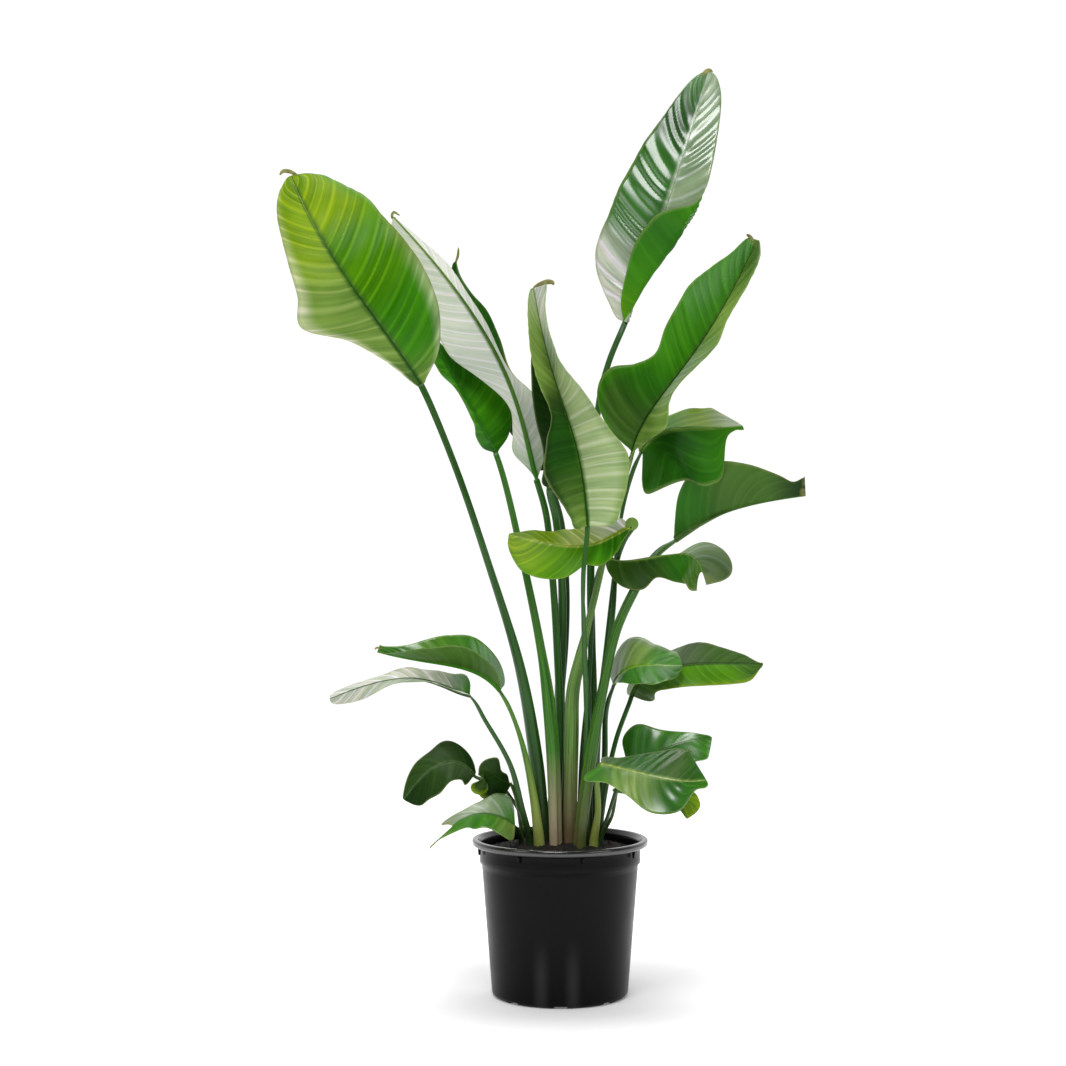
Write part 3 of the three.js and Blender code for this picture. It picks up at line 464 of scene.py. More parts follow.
# The skins: roughness, strength of the sheen, share of light let through, how far the ridges are painted
# paler as a painted highlight, and the contrast of the stripes between the veins.
SKINS = {
    "thin": (0.36, 0.12, 0.2, 0.58, 1.0),
    "satin": (0.36, 0.14, 0.12, 0.4, 1.0),
    "glossy": (0.22, 1.0, 0.12, 0.5, 1.0),
}
UNDERSIDE = (0.46, 0.16, 0.1, 0.24, 0.45)
# What a leaf's tint is multiplied by where the tissue is thick or thin, on the ridges as a painted highlight,
# and for the light that comes through.
THICK_TISSUE = (0.52, 0.64, 0.5)
THIN_TISSUE = (1.4, 1.26, 1.2)
RIDGE_HIGHLIGHT = (2.1, 1.6, 2.4)
THROUGH = (1.25, 1.2, 0.3)
# The stalks: the dark and light of their streaks, and the colour of the foot.
STEMS = {
    "green": ("123c06", "2f6a14", "48602c"),
    "dark": ("133a08", "2e6218", "2f4a20"),
    "olive": ("1c480e", "4c8028", "5c6434"),
    "cream": ("2c5818", "7ca050", "80684c"),
    "young": ("2c5c10", "5c9028", "9aa450"),
    "pinkish": ("1f540d", "4c842c", "b4a084"),
}
PLASTIC = "050505"
# How strong and how rough the sheen of the pot's wall and of its rolled rim are.
WALL_GLOSS = (0.1, 0.28)
RIM_GLOSS = (1.0, 0.16)
# Two upright streaks painted paler low on the front of the pot, a painted highlight: where each is in X, in
# metres.
PAINTED_HIGHLIGHT_X = (-0.028, 0.017)
# The soil's own browns, darkened almost to black: partly painted shade for the shade inside the pot
SOIL_DARK = "070605"
SOIL_LIGHT = "1c1511"
BARK = "1f1711"
DRY = "9a9a58"
DRY_FOLD = "646434"
MARGIN = "a3b26a"
SHEATH_EDGE = "6a4a2c"
# The grey of the painted highlight streaks on the pot
DUST = "6b6862"
PAINTED_HIGHLIGHT_GREY = "6c6c6c"
FLOOR = "f6f6f6"
# The floor's painted glow beside the pot; it grows to 0.8 further out
PAPER_GLOW = 0.16
SKY = "ffffff"


# Curves and surfaces. Lengths inside these functions are in millimetres.


def smooth(low, high, x):
    """Rises from 0 at low to 1 at high: with t the share of the way, 3 t squared minus 2 t cubed."""
    t = np.clip((x - low) / (high - low), 0, 1)
    return t * t * (3 - 2 * t)


def along(values, s):
    """A smooth line through evenly spaced values at the places s: a cubic on each step whose slope at a
    value is half the difference of its two neighbours."""
    v = np.asarray(values, float)
    i = np.clip(np.floor(s).astype(int), 0, len(v) - 2)
    t = s - i
    ends = np.concatenate([[2 * v[0] - v[1]], v, [2 * v[-1] - v[-2]]])
    before, a, b, after = ends[i], ends[i + 1], ends[i + 2], ends[i + 3]
    slope_a, slope_b, rise = (b - before) / 2, (after - a) / 2, b - a
    return a + t * (slope_a + t * (3 * rise - 2 * slope_a - slope_b + t * (slope_a + slope_b - 2 * rise)))


def ease(values, u):
    """Goes from each to the next of a list of values with a smooth step, as u goes from 0 to 1, or keeps to
    the one value."""
    v = np.resize(values, max(2, np.size(values))).astype(float)
    s = np.asarray(u) * (len(v) - 1)
    i = np.clip(np.floor(s).astype(int), 0, len(v) - 2)
    return v[i] + (v[i + 1] - v[i]) * smooth(0, 1, s - i)


def tones_along(names, u):
    """The colours of the named tones, one after the other with smooth steps, as u goes from 0 to 1."""
    colours = np.array([linear(TONES[name]) for name in names.split()])
    return np.stack([ease(channel, u) for channel in colours.T], -1)[:, None]


def unit(vectors):
    """Each vector divided by its length."""
    return vectors / np.linalg.norm(vectors, axis=-1, keepdims=True)


def walked_along(line):
    """How far along a line of points each of them lies, as a column."""
    return np.concatenate([[0], np.cumsum(np.linalg.norm(np.diff(line, axis=0), axis=1))])[:, None]


def rib_curve(points, u):
    """The midrib's points and directions: the cubic that runs through four points at u 0, 1/3, 2/3 and 1,
    as the sum of the points times the four cubics that are 1 at their own point and 0 at the others."""
    p = np.asarray(points, float)
    knots = np.array([0, 1 / 3, 2 / 3, 1])
    place, slope = np.zeros((len(u), 3)), np.zeros((len(u), 3))
    for k in range(4):
        others = np.delete(knots, k)
        cubic = np.poly(others) / np.prod(knots[k] - others)
        place += np.polyval(cubic, u)[:, None] * p[k]
        slope += np.polyval(np.polyder(cubic), u)[:, None] * p[k]
    return place, unit(slope)


def directions(forward, face):
    """The sideways and outward directions of a leaf: forward crossed with face, and that crossed back."""
    side = unit(np.cross(forward, face))
    return side, np.cross(side, forward)


def facing(leaf, u):
    """The way the upper side looks along the midrib, evenly from the start's to the tip's."""
    face = np.atleast_2d(leaf["face"])
    return face[0] + np.outer(u, face[-1] - face[0])


def half_width(leaf, half, u):
    """The half-blade's width along the midrib: a smooth line through its widths, which crowd at both ends
    like the points of an even turn seen from the side, and nowhere less than 1 mm."""
    widths = (leaf["start"],) + half["width"]
    return np.maximum(along(widths, np.arccos(1 - 2 * u) / np.pi * (len(widths) - 1)), 1.0)[:, None]


def half_blade(leaf, half, side, u, v, place, forward, across, out):
    """One half of a blade. u runs along the midrib, v from it to the margin. The half leaves the midrib flat
    at its fold angle, turns evenly by its curl angle over the stretch named roll, and goes on flat; its
    veins sweep forward with the square of v, its lobes backward, and its margin rides up and down in sine
    waves. Returns the points, the normals and the running place of the veins."""
    w = half_width(leaf, half, u)
    low, high = (along(ends, u * (len(ends) - 1))[:, None] for ends in half.get("roll", ((0, 0), (1, 1))))
    fold = np.radians(ease(half["fold"], u))[:, None]
    turn = ease(half.get("curl", 0), u)[:, None]
    turn = np.radians(np.where(np.abs(turn) < 0.1, 0.1, turn))
    angle = fold + turn * np.clip((v - low) / (high - low), 0, 1)
    flat, beyond, radius = w * np.minimum(v, low), w * np.maximum(v - high, 0), w * (high - low) / turn
    sideways = flat * np.cos(fold) + radius * (np.sin(angle) - np.sin(fold)) + beyond * np.cos(angle)
    rise = flat * np.sin(fold) + radius * (np.cos(fold) - np.cos(angle)) + beyond * np.sin(angle)
    sweep, lobe = leaf.get("sweep", VEIN_SWEEP), leaf.get("lobe", LOBE_SWEEP)
    ahead = (w - leaf["start"]) * v**2 * (sweep * (1 - u**4) - (sweep + lobe) * (1 - u) ** 10)[:, None]
    ahead = ahead + half.get("tail", 0) * v**2 * smooth(0.8, 1, u)[:, None]
    height, count = leaf["wave"]
    wave = np.sin(2 * np.pi * count * u + len(leaf["name"]) + side) * np.sin(np.pi * u)
    normal = -side * np.sin(angle)[..., None] * across[:, None] + np.cos(angle)[..., None] * out[:, None]
    points = place[:, None] + side * sideways[..., None] * across[:, None] + rise[..., None] * out[:, None]
    waved = (height * v**2 * wave[:, None])[..., None] * normal
    points = points + ahead[..., None] * forward[:, None] + waved
    slope = leaf.get("lean", VEIN_LEAN)
    lean = (slope * smooth(0, 0.25, u) + TIP_LEAN * smooth(0.4, 1, u))[:, None]
    veins = (walked_along(place) - lean * np.mean(half["width"]) * v) / np.sqrt(1 + slope**2)
    return points, normal, veins


def blade_surface(leaf, spacing, row_step):
    """Both sides of a blade as two grids of points. Across, the columns crowd at the midrib, whose keel below
    is half an ellipse and whose channel above is a shallow cosine. The blade between the veins is raised in
    pleats: the absolute sine of the veins' place over their spacing, to the power 0.75, with soft creases."""
    rows = int(walked_along(rib_curve(leaf["rib"], np.linspace(0, 1, 40))[0])[-1, 0] / row_step)
    t = np.linspace(0, 1, rows + 1)
    u = 0.5 * t + 0.25 * (1 - np.cos(np.pi * t))
    place, forward = rib_curve(leaf["rib"], u)
    across, out = directions(forward, facing(leaf, u))
    keel = (leaf["start"] * (KEEL_DEPTH - KEEL_TAPER * u))[:, None]
    web = np.linspace(0, 1, WEB_COLUMNS + 1)[1:]
    parts = []
    for side, half in ((-1, leaf["left"]), (1, leaf["right"])):
        w = half_width(leaf, half, u)
        share = np.minimum(0.6, 0.7 * keel / w)
        v = np.hstack([share * RIB_COLUMNS, share + (1 - share) * web])
        points, normal, veins = half_blade(leaf, half, side, u, v, place, forward, across, out)
        inside = np.clip(v / share, 0, 1)
        number = veins / (spacing * leaf.get("veins", 1))
        number = number + VEIN_WANDER * np.sin(1.9 * number + len(leaf["name"]) + side) + 0.5 * (side > 0)
        pillow = (np.sin(np.pi * number) ** 2 + PLEAT_SOFTENING) ** 0.375 - PLEAT_MIDDLE
        reach = smooth(0.0, 0.25, v - share) * (1 - 0.45 * smooth(0.75, 1, v)) * smooth(0, 0.06, u)[:, None]
        pleat = leaf["pleat"] * pillow * reach * np.clip(w / PLEAT_FULL_WIDTH, 0.15, 1)
        curled = smooth(15, 80, np.abs(ease(half.get("curl", 0), u)))[:, None]
        pleat = pleat * (1 - 0.9 * curled * smooth(0, 0.2, v))
        channel = -CHANNEL_DEPTH * keel * (1 + np.cos(np.pi * inside)) / 2
        half_thick = BLADE_HALF_THICK - MARGIN_THINNING * smooth(0.9, 1, v)
        above = pleat + half_thick + channel
        below = pleat - half_thick - keel * np.sqrt(np.clip(1 - inside**2, 0, 1))
        near_tip = smooth(0.93, 1, u)[:, None]
        dry = leaf.get("dry", TIP_DRYNESS) * np.maximum(near_tip, smooth(0.985, 1, v) * 0.35)
        middle = (1 - smooth(0.3, 0.6, v / share))[..., None]
        beside = (1 - smooth(0.85, 1.4, v / share))[..., None] * (1 - middle)
        fringe = 0.85 * smooth(0.72, 1, v)[..., None]
        ends = [tones_along(names, u) for names in leaf["vein"]]
        tint = tones_along(half["tone"], u)
        if "rim" in half:
            tint = tint + fringe * (tones_along(half["rim"], u) - tint)
        tint = tint * (1 - middle - beside) + middle * ends[0] + beside * ends[1]
        below_tint = tones_along(leaf["under"], u)
        below_tint = below_tint * (1 - middle - beside) + (middle + beside) * ends[1]
        parts.append(dict(
            upper=points + above[..., None] * normal,
            lower=points + below[..., None] * normal,
            uv=np.stack([number, 0.5 + 0.5 * side * v], -1),
            tint=tint,
            below_tint=below_tint,
            margin=smooth(2.2, 0.5, w * (1 - v)),
            dry=dry,
        ))
    left, right = parts
    return {key: np.concatenate([left[key][:, ::-1], right[key][:, 1:]], axis=1) for key in left}


def grid_faces(rows, columns, offset=0, closed=False, flip=False):
    """The four-cornered faces of a grid of rows by columns points, numbered along the rows. Where closed, the
    last column joins the first."""
    i = np.arange(rows - 1)[:, None]
    j = np.arange(columns if closed else columns - 1)[None]
    k = (j + 1) % columns
    faces = np.stack([i * columns + j, i * columns + k, (i + 1) * columns + k, (i + 1) * columns + j], -1)
    faces = faces.reshape(-1, 4) + offset
    return faces[:, ::-1] if flip else faces


def tube_faces(rows, columns, offset=0, flip=False):
    """The faces of a tube: a grid of rings, and at each end a fan to one of the two points that follow it."""
    ring, after = np.arange(columns), np.roll(np.arange(columns), -1)
    if flip:
        ring, after = after, ring
    pole, last = np.full(columns, rows * columns), (rows - 1) * columns
    fans = np.stack([pole, after, ring], -1), np.stack([pole + 1, last + ring, last + after], -1)
    return [grid_faces(rows, columns, offset, closed=True, flip=flip), *(fan + offset for fan in fans)]


def with_poles(rings, poles=None):
    """The points of the rings one after the other, and two poles, else the middles of the first and last."""
    if poles is None:
        poles = [rings[0].mean(axis=0), rings[-1].mean(axis=0)]
    return np.vstack([rings.reshape(-1, rings.shape[-1]), *poles])


def rim_faces(rows, columns):
    """The faces that join the edges of an upper grid to those of the lower grid that follows it."""
    top = np.arange(columns - 1)
    right = np.arange(rows - 1) * columns + columns - 1
    bottom = (rows - 1) * columns + np.arange(columns - 1, 0, -1)
    left = np.arange(rows - 1, 0, -1) * columns
    loop = np.concatenate([top, right, bottom, left])
    after = np.roll(loop, -1)
    return np.stack([loop, loop + rows * columns, after + rows * columns, after], -1)


def stalk_surface(leaf, ring_step, sides):
    """A stalk as rings around its line. The line runs straight up out of the soil and on through its points
    with cubics whose slopes weigh the neighbours by the square root of their distance. Each ring is an oval,
    0.86 as deep as wide, times one minus a bell-shaped groove on the inner side, which widens to a sheath
    with raised edges towards the foot, and the inner side sinks flat where the blade begins."""
    rib, direction = rib_curve(leaf["rib"], np.array([0.0, 1.0]))
    seat = rib[0] + direction[0]
    x, y, foot_width = leaf["foot"]
    route = np.array([(x, y, STALK_CLEAR_OF_SOIL)] + [p[:3] for p in leaf["stalk"]] + [tuple(seat)], float)
    widths = [foot_width] + [p[3] for p in leaf["stalk"]] + [leaf["start"]]
    reach = np.linalg.norm(seat - route[-2]) / 2
    posts = np.vstack([[x, y, STALK_ROOT], route, seat + reach * direction[0]])
    line, share = [], []
    for k in range(1, len(posts) - 2):
        a, b, c, d = posts[k - 1 : k + 3]
        ta, tb, tc = (np.linalg.norm(q - p) ** 0.5 for p, q in ((a, b), (b, c), (c, d)))
        slope_b = ((b - a) / ta - (c - a) / (ta + tb) + (c - b) / tb) * tb
        slope_c = ((c - b) / tb - (d - b) / (tb + tc) + (d - c) / tc) * tb
        steps = max(2, int(np.linalg.norm(c - b) / ring_step))
        t = (np.arange(steps) / steps)[:, None]
        bend = 3 * (c - b) - 2 * slope_b - slope_c + t * (slope_b + slope_c - 2 * (c - b))
        line.append(b + t * (slope_b + t * bend))
        share.append(k - 1 + t[:, 0])
    line = np.vstack([[(x, y, STALK_ROOT)], *line, [seat]])
    share = np.concatenate([[0], *share, [len(route) - 1.0]])
    forward = unit(np.gradient(line, axis=0))
    forward[:2], forward[-1] = (0, 0, 1), direction[0]
    w = along(widths, share)[:, None]
    lean = unit(np.array([x - rib[0][0], y - rib[0][1], 0.0]))
    blend = (share / (len(route) - 1))[:, None] ** 2
    face = lean + blend * (facing(leaf, 0) - lean)
    across, out = directions(forward, face)
    height = line[:, 2:3]
    top = min(line[-1, 2] * 0.55, STALK_CLEAR_OF_SOIL + 24 * foot_width)
    sheath = smooth(top, STALK_CLEAR_OF_SOIL - 20, height)
    walked = walked_along(line)
    ending = smooth(GROOVE_END, 2, walked[-1] - walked)
    phi = 2 * np.pi * np.arange(sides)[None] / sides
    off = np.abs((phi - np.pi / 2 + np.pi) % (2 * np.pi) - np.pi)
    breadth = GROOVE_ANGLE + SHEATH_WIDENING * sheath
    groove = (GROOVE_DEPTH + SHEATH_DEEPENING * sheath) * np.exp(-((off / breadth) ** 2))
    edge = np.exp(-(((off - EDGE_ANGLE) / EDGE_BREADTH) ** 2))
    radius = 1 - groove * (1 - ending) + EDGE_HEIGHT * sheath * edge
    lift = np.where(np.sin(phi) > 0, 1 - 0.86 * ending, 1) * np.sin(phi) * STALK_OVAL * radius
    ribs = 1 + RIB_HEIGHT * np.sin(FAINT_RIBS * phi) * (1 - ending)
    points = (
        line[:, None]
        + (w * np.cos(phi) * radius * ribs)[..., None] * across[:, None]
        + (w * lift * ribs)[..., None] * out[:, None]
    )
    uv = np.stack([phi / (2 * np.pi) + 0 * walked, walked * MM + 0 * phi], -1)
    return points, uv, sheath * edge + 0 * phi


def ribbon_surface(points, half_width, rings, sides):
    """A thin strip along a smooth line through the points: ovals that reach half_width to each side, are a
    fifth as thick as wide, and shrink at both ends as the square root of a sine."""
    share = np.linspace(0, len(points) - 1.001, rings)
    line = np.stack([along(axis, share) for axis in np.transpose(points)], -1)
    forward = unit(np.gradient(line, axis=0))
    across, out = directions(forward, np.array([0.25, 1.0, 0.1]))
    size = half_width * np.sqrt(np.sin(np.pi * np.linspace(0.02, 0.98, rings)))[:, None, None]
    phi = 2 * np.pi * np.arange(sides) / sides
    return line[:, None] + size * (
        np.cos(phi)[None, :, None] * across[:, None] + 0.2 * np.sin(phi)[None, :, None] * out[:, None]
    )


def turned_surface(profile, angles):
    """A body turned about Z: each [radius, height] of the profile goes round the circle at the angles."""
    p = np.asarray(profile, float)
    r, z = p[:, 0][:, None], p[:, 1][:, None]
    return np.stack([r * np.cos(angles), r * np.sin(angles), z + 0 * angles], -1)


def arc(x, z, radius, start, end, count):
    """Points on a circle about (x, z), from one angle to another in degrees."""
    a = np.radians(np.linspace(start, end, count))
    return [(x + radius * np.cos(t), z + radius * np.sin(t)) for t in a]


def pot_wall(t, inward=0.0):
    """The radius and height of the pot's straight wall, from 0 at the foot's corner to 1 under the collar."""
    radius = FOOT_RADIUS + (WALL_TOP_RADIUS - FOOT_RADIUS) * t - inward
    return radius, FOOT_CORNER + (WALL_TOP - FOOT_CORNER) * t


def pot_profile(rim, top):
    """The pot's outline in four parts: the foot from the middle of its underside outwards, the wall with its
    collar, the rolled rim, and the inside down to the middle of its floor."""
    foot = [(INNERMOST, 0), (45, 0), (82.5, 0), (84, 0)]
    foot += arc(FOOT_RADIUS - FOOT_CORNER, FOOT_CORNER, FOOT_CORNER, -90, 0, 9)
    wall = [pot_wall(t) for t in np.linspace(0.04, 1, 24)]
    wall += arc(114.6, 193.4, 1.2, -60, -10, 3) + [(117, 194.4), (117, 200), (117, FIN_FOOT)]
    wall += arc(119, 215, 2, 180, 110, 4) + [(124, 218)]
    rolled = arc(rim - 3.5, top - 6.2, 3.5, -60, 0, 5) + arc(rim - 3, top - 3, 3, 0, 90, 6)
    rolled += arc(rim - 6.5, top - 1.5, 1.5, 90, 160, 4)
    inside = [(115.6, 222), (114.8, 219), (114.8, 205), (114.8, 195), (111.8, 191)]
    inside += [pot_wall(t, WALL) for t in np.linspace(0.96, 0.02, 12)]
    inside += [(FOOT_RADIUS - FOOT_CORNER, POT_FLOOR), (45, POT_FLOOR), (INNERMOST, POT_FLOOR)]
    return foot, wall, rolled, inside


def mound(x, y):
    """The soil's height: the crown's parabola, and products of sine waves of 7 to 50 mm that flatten out
    towards the edge."""
    share = np.hypot(x, y) / MOUND_RADIUS
    lumps = 1.3 * np.sin(2 * np.pi * x / 50 + 1) * np.cos(2 * np.pi * y / 50)
    crumbs = 0.8 * np.sin(0.41 * x + 0.2 * y) * np.sin(0.37 * y - 0.1 * x)
    crumbs = crumbs + 0.5 * np.sin(0.71 * x - 0.5 * y + 2) * np.sin(0.69 * y + 0.3 * x)
    return SOIL_EDGE + (SOIL_CROWN - SOIL_EDGE) * (1 - share**2) + (lumps + crumbs) * (1 - share**6)


# Meshes


def make_mesh(name, points, faces, uv=None, smooth_faces=True, tint=None, **values):
    """Puts points in millimetres and faces into a new object at the origin, with a UV map, a colour and other
    values for each point."""
    mesh = bpy.data.meshes.new(name)
    points = np.asarray(points, float).reshape(-1, 3) * MM
    faces = [np.asarray(f) for f in (faces if isinstance(faces, list) else [faces])]
    loops = np.concatenate([f.ravel() for f in faces])
    totals = np.concatenate([np.full(len(f), f.shape[1]) for f in faces])
    starts = np.concatenate([[0], np.cumsum(totals)[:-1]])
    mesh.vertices.add(len(points))
    mesh.vertices.foreach_set("co", points.ravel())
    mesh.loops.add(len(loops))
    mesh.loops.foreach_set("vertex_index", loops.astype(np.int32))
    mesh.polygons.add(len(totals))
    mesh.polygons.foreach_set("loop_start", starts.astype(np.int32))
    mesh.polygons.foreach_set("loop_total", totals.astype(np.int32))
    mesh.polygons.foreach_set("use_smooth", np.full(len(totals), smooth_faces))
    if uv is not None:
        layer = mesh.uv_layers.new(name="surface")
        layer.data.foreach_set("uv", np.asarray(uv, float).reshape(-1, 2)[loops].ravel())
    for key, data in values.items():
        mesh.attributes.new(key, "FLOAT", "POINT").data.foreach_set("value", np.asarray(data, float).ravel())
    if tint is not None:
        opaque = np.column_stack([np.asarray(tint, float).reshape(-1, 3), np.ones(len(points))])
        mesh.attributes.new("tint", "FLOAT_COLOR", "POINT").data.foreach_set("color", opaque.ravel())
    mesh.update(calc_edges=True)
    mesh.validate()
    piece = bpy.data.objects.new(name, mesh)
    bpy.context.scene.collection.objects.link(piece)
    return piece


def finish_piece(piece, slot, materials, *nodes):
    """Gives a piece its materials and its body, and hides the nodes that it replaces. The slot is not used.
    """
    for material in materials:
        piece.data.materials.append(material)
    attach(piece, "root")
    if nodes:
        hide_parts(*nodes)


# Materials. A pattern on Object coordinates has a scale of 1000 over its size in millimetres.


def add(tree, kind, links=(), **settings):
    """Adds a node with its settings. Its inputs are linked to sockets, or to the first one in use of a node,
    or are given values."""
    node = tree.nodes.new(kind)
    for key, value in settings.items():
        setattr(node, key, value)
    for key, source in dict(links).items():
        if isinstance(source, bpy.types.Node):
            source = next(socket for socket in source.outputs if socket.enabled)
        if isinstance(source, bpy.types.NodeSocket):
            tree.links.new(source, node.inputs[key])
        else:
            node.inputs[key].default_value = source
    return node


def shared(name, make, *values):
    """A material by its name. The first time it is asked for, make adds its nodes and returns the last."""
    material = bpy.data.materials.get(name)
    if material is None:
        material = bpy.data.materials.new(name)
        material.use_nodes = True
        tree = material.node_tree
        tree.nodes.clear()
        output = tree.nodes.new("ShaderNodeOutputMaterial")
        tree.links.new(make(tree, *values).outputs[0], output.inputs[0])
    return material


def rgba(colour):
    """A linear colour with full alpha."""
    return (*colour[:3], 1.0)


def leaf_skin(tree, rough, sheen, through, ridge_highlight, contrast):
    """One side of a living leaf, a waxy cuticle over pleated green tissue. The tint comes with the leaf: here
    it is painted paler on the ridges of the main veins, a painted highlight for the sheen on the pleats, and
    varies in stripes between them, as the tissue is thick or thin. The wax gives a clear sheen, and the light
    that comes through is yellower than what went in. The fine parallel veins, 1 mm apart, are drawn two or
    three times as coarse so that they show. The tone drifts over about 90 mm, and the dry spots of the tips
    are about 11 mm across."""
    thick_tint, thin_tint = (
        rgba([1 + contrast * (x - 1) for x in tissue]) for tissue in (THICK_TISSUE, THIN_TISSUE)
    )
    uv = add(tree, "ShaderNodeUVMap", uv_map="surface")
    split = add(tree, "ShaderNodeSeparateXYZ", {0: uv})
    place = add(tree, "ShaderNodeTexCoord").outputs["Object"]
    tint = add(tree, "ShaderNodeAttribute", attribute_name="tint")
    number, v = split.outputs[0], split.outputs[1]
    nearest = add(tree, "ShaderNodeMath", {0: number, 1: 0.5}, operation="PINGPONG")
    main = add(
        tree, "ShaderNodeMapRange", {0: nearest, 2: 0.2, 3: 1.0, 4: 0.0},
        interpolation_type="SMOOTHSTEP",
    )
    flat = add(tree, "ShaderNodeCombineXYZ", {0: number, 1: v})
    broad = add(tree, "ShaderNodeMapping", {0: flat, 3: (1.3, 0.9, 1.0)})
    panels = add(tree, "ShaderNodeTexNoise", {0: broad, 2: 1.0})
    narrow = add(tree, "ShaderNodeMapping", {0: flat, 3: (6.5, 1.4, 1.0)})
    fine = add(tree, "ShaderNodeTexNoise", {0: narrow, 2: 1.0, 4: 0.6})
    clouds = add(tree, "ShaderNodeTexNoise", {0: place, 2: 11.0, 3: 3.0})
    both = add(tree, "ShaderNodeMath", {0: panels, 1: clouds}, operation="ADD")
    tone = add(tree, "ShaderNodeMath", {0: fine, 1: 0.6, 2: both}, operation="MULTIPLY_ADD")
    share = add(tree, "ShaderNodeMapRange", {0: tone, 1: 0.95, 2: 1.65})
    thick = add(
        tree, "ShaderNodeMix", {0: 1.0, 6: tint, 7: thick_tint}, data_type="RGBA", blend_type="MULTIPLY",
    )
    thin = add(
        tree, "ShaderNodeMix", {0: 1.0, 6: tint, 7: thin_tint}, data_type="RGBA", blend_type="MULTIPLY",
    )
    blade = add(tree, "ShaderNodeMix", {0: share, 6: thick, 7: thin}, data_type="RGBA")
    # Painted highlight: the ridges of the main veins are painted paler, standing in for the sheen on the
    # pleats
    raised = add(tree, "ShaderNodeMath", {0: main, 1: ridge_highlight}, operation="MULTIPLY")
    pale = add(
        tree, "ShaderNodeMix", {0: 1.0, 6: tint, 7: rgba(RIDGE_HIGHLIGHT)}, data_type="RGBA", blend_type="MULTIPLY",
    )
    lined = add(tree, "ShaderNodeMix", {0: raised, 6: blade, 7: pale}, data_type="RGBA")
    margin = add(tree, "ShaderNodeAttribute", attribute_name="margin").outputs["Fac"]
    edge = add(tree, "ShaderNodeMath", {0: margin, 1: 0.35}, operation="MULTIPLY")
    edged = add(tree, "ShaderNodeMix", {0: edge, 6: lined, 7: rgba(linear(MARGIN))}, data_type="RGBA")
    dry = add(tree, "ShaderNodeAttribute", attribute_name="dry").outputs["Fac"]
    torn = add(tree, "ShaderNodeTexNoise", {0: place, 2: 90.0, 3: 3.0})
    withered = add(tree, "ShaderNodeMath", {0: dry, 1: torn}, operation="MULTIPLY")
    burnt = add(tree, "ShaderNodeMapRange", {0: withered, 1: 0.25, 2: 0.5, 4: 0.85})
    colour = add(tree, "ShaderNodeMix", {0: burnt, 6: edged, 7: rgba(linear(DRY))}, data_type="RGBA")
    relief = add(tree, "ShaderNodeMath", {0: fine, 1: 0.5, 2: main}, operation="MULTIPLY_ADD")
    bump = add(tree, "ShaderNodeBump", {0: 0.4, 1: 0.0006, 2: relief})
    wax = add(tree, "ShaderNodeMapRange", {0: clouds, 1: 0.3, 2: 0.7, 3: rough - 0.05, 4: rough + 0.08})
    surface = add(
        tree, "ShaderNodeBsdfPrincipled",
        {"Base Color": colour, "Roughness": wax, "IOR": 1.48, "Specular IOR Level": sheen, "Normal": bump},
    )
    glow = add(
        tree, "ShaderNodeMix", {0: 1.0, 6: colour, 7: rgba(THROUGH)}, data_type="RGBA",
        blend_type="MULTIPLY",
    )
    lit = add(tree, "ShaderNodeBsdfTranslucent", {0: glow, 1: bump})
    return add(tree, "ShaderNodeMixShader", {0: through, 1: surface, 2: lit})


def stalk_skin(tree, dark, light, base):
    """The skin of a stalk, a smooth waxy rind over long fibres: fine streaks, 34 round the stalk and about
    110 mm long, a foot of another shade, and thin papery brown edges on the sheath."""
    uv = add(tree, "ShaderNodeUVMap", uv_map="surface")
    place = add(tree, "ShaderNodeTexCoord").outputs["Object"]
    height = add(tree, "ShaderNodeSeparateXYZ", {0: place})
    along_it = add(tree, "ShaderNodeMapping", {0: uv, 3: (34.0, 9.0, 1.0)})
    fibres = add(tree, "ShaderNodeTexNoise", {0: along_it, 2: 1.0, 3: 4.0, 4: 0.6})
    share = add(tree, "ShaderNodeMapRange", {0: fibres, 1: 0.32, 2: 0.68})
    green = add(tree, "ShaderNodeMix", {0: share, 6: rgba(dark), 7: rgba(light)}, data_type="RGBA")
    low = add(tree, "ShaderNodeMapRange", {0: height.outputs[2], 1: 0.36, 2: 0.235, 4: 0.9})
    faded = add(tree, "ShaderNodeMix", {0: low, 6: green, 7: rgba(base)}, data_type="RGBA")
    edge = add(tree, "ShaderNodeAttribute", attribute_name="edge").outputs["Fac"]
    paper = add(tree, "ShaderNodeMath", {0: edge, 1: fibres}, operation="MULTIPLY")
    browned = add(tree, "ShaderNodeMapRange", {0: paper, 1: 0.18, 2: 0.45, 4: 0.8})
    colour = add(
        tree, "ShaderNodeMix", {0: browned, 6: faded, 7: rgba(linear(SHEATH_EDGE))}, data_type="RGBA",
    )
    bump = add(tree, "ShaderNodeBump", {0: 0.3, 1: 0.0005, 2: fibres})
    return add(
        tree, "ShaderNodeBsdfPrincipled",
        {"Base Color": colour, "Roughness": 0.38, "IOR": 1.45, "Normal": bump, "Specular IOR Level": 0.45},
    )


def withered_tissue(tree, colour):
    """The dried end of a leaf: papery, straw-coloured and matt, a dark olive in its folds of about 6 mm."""
    place = add(tree, "ShaderNodeTexCoord").outputs["Object"]
    folds = add(tree, "ShaderNodeTexNoise", {0: place, 2: 160.0, 3: 3.0})
    shade = add(tree, "ShaderNodeMapRange", {0: folds, 1: 0.3, 2: 0.7})
    tone = add(
        tree, "ShaderNodeMix", {0: shade, 6: rgba(linear(DRY_FOLD)), 7: rgba(colour)}, data_type="RGBA",
    )
    return add(tree, "ShaderNodeBsdfPrincipled", {"Base Color": tone, "Roughness": 0.7})


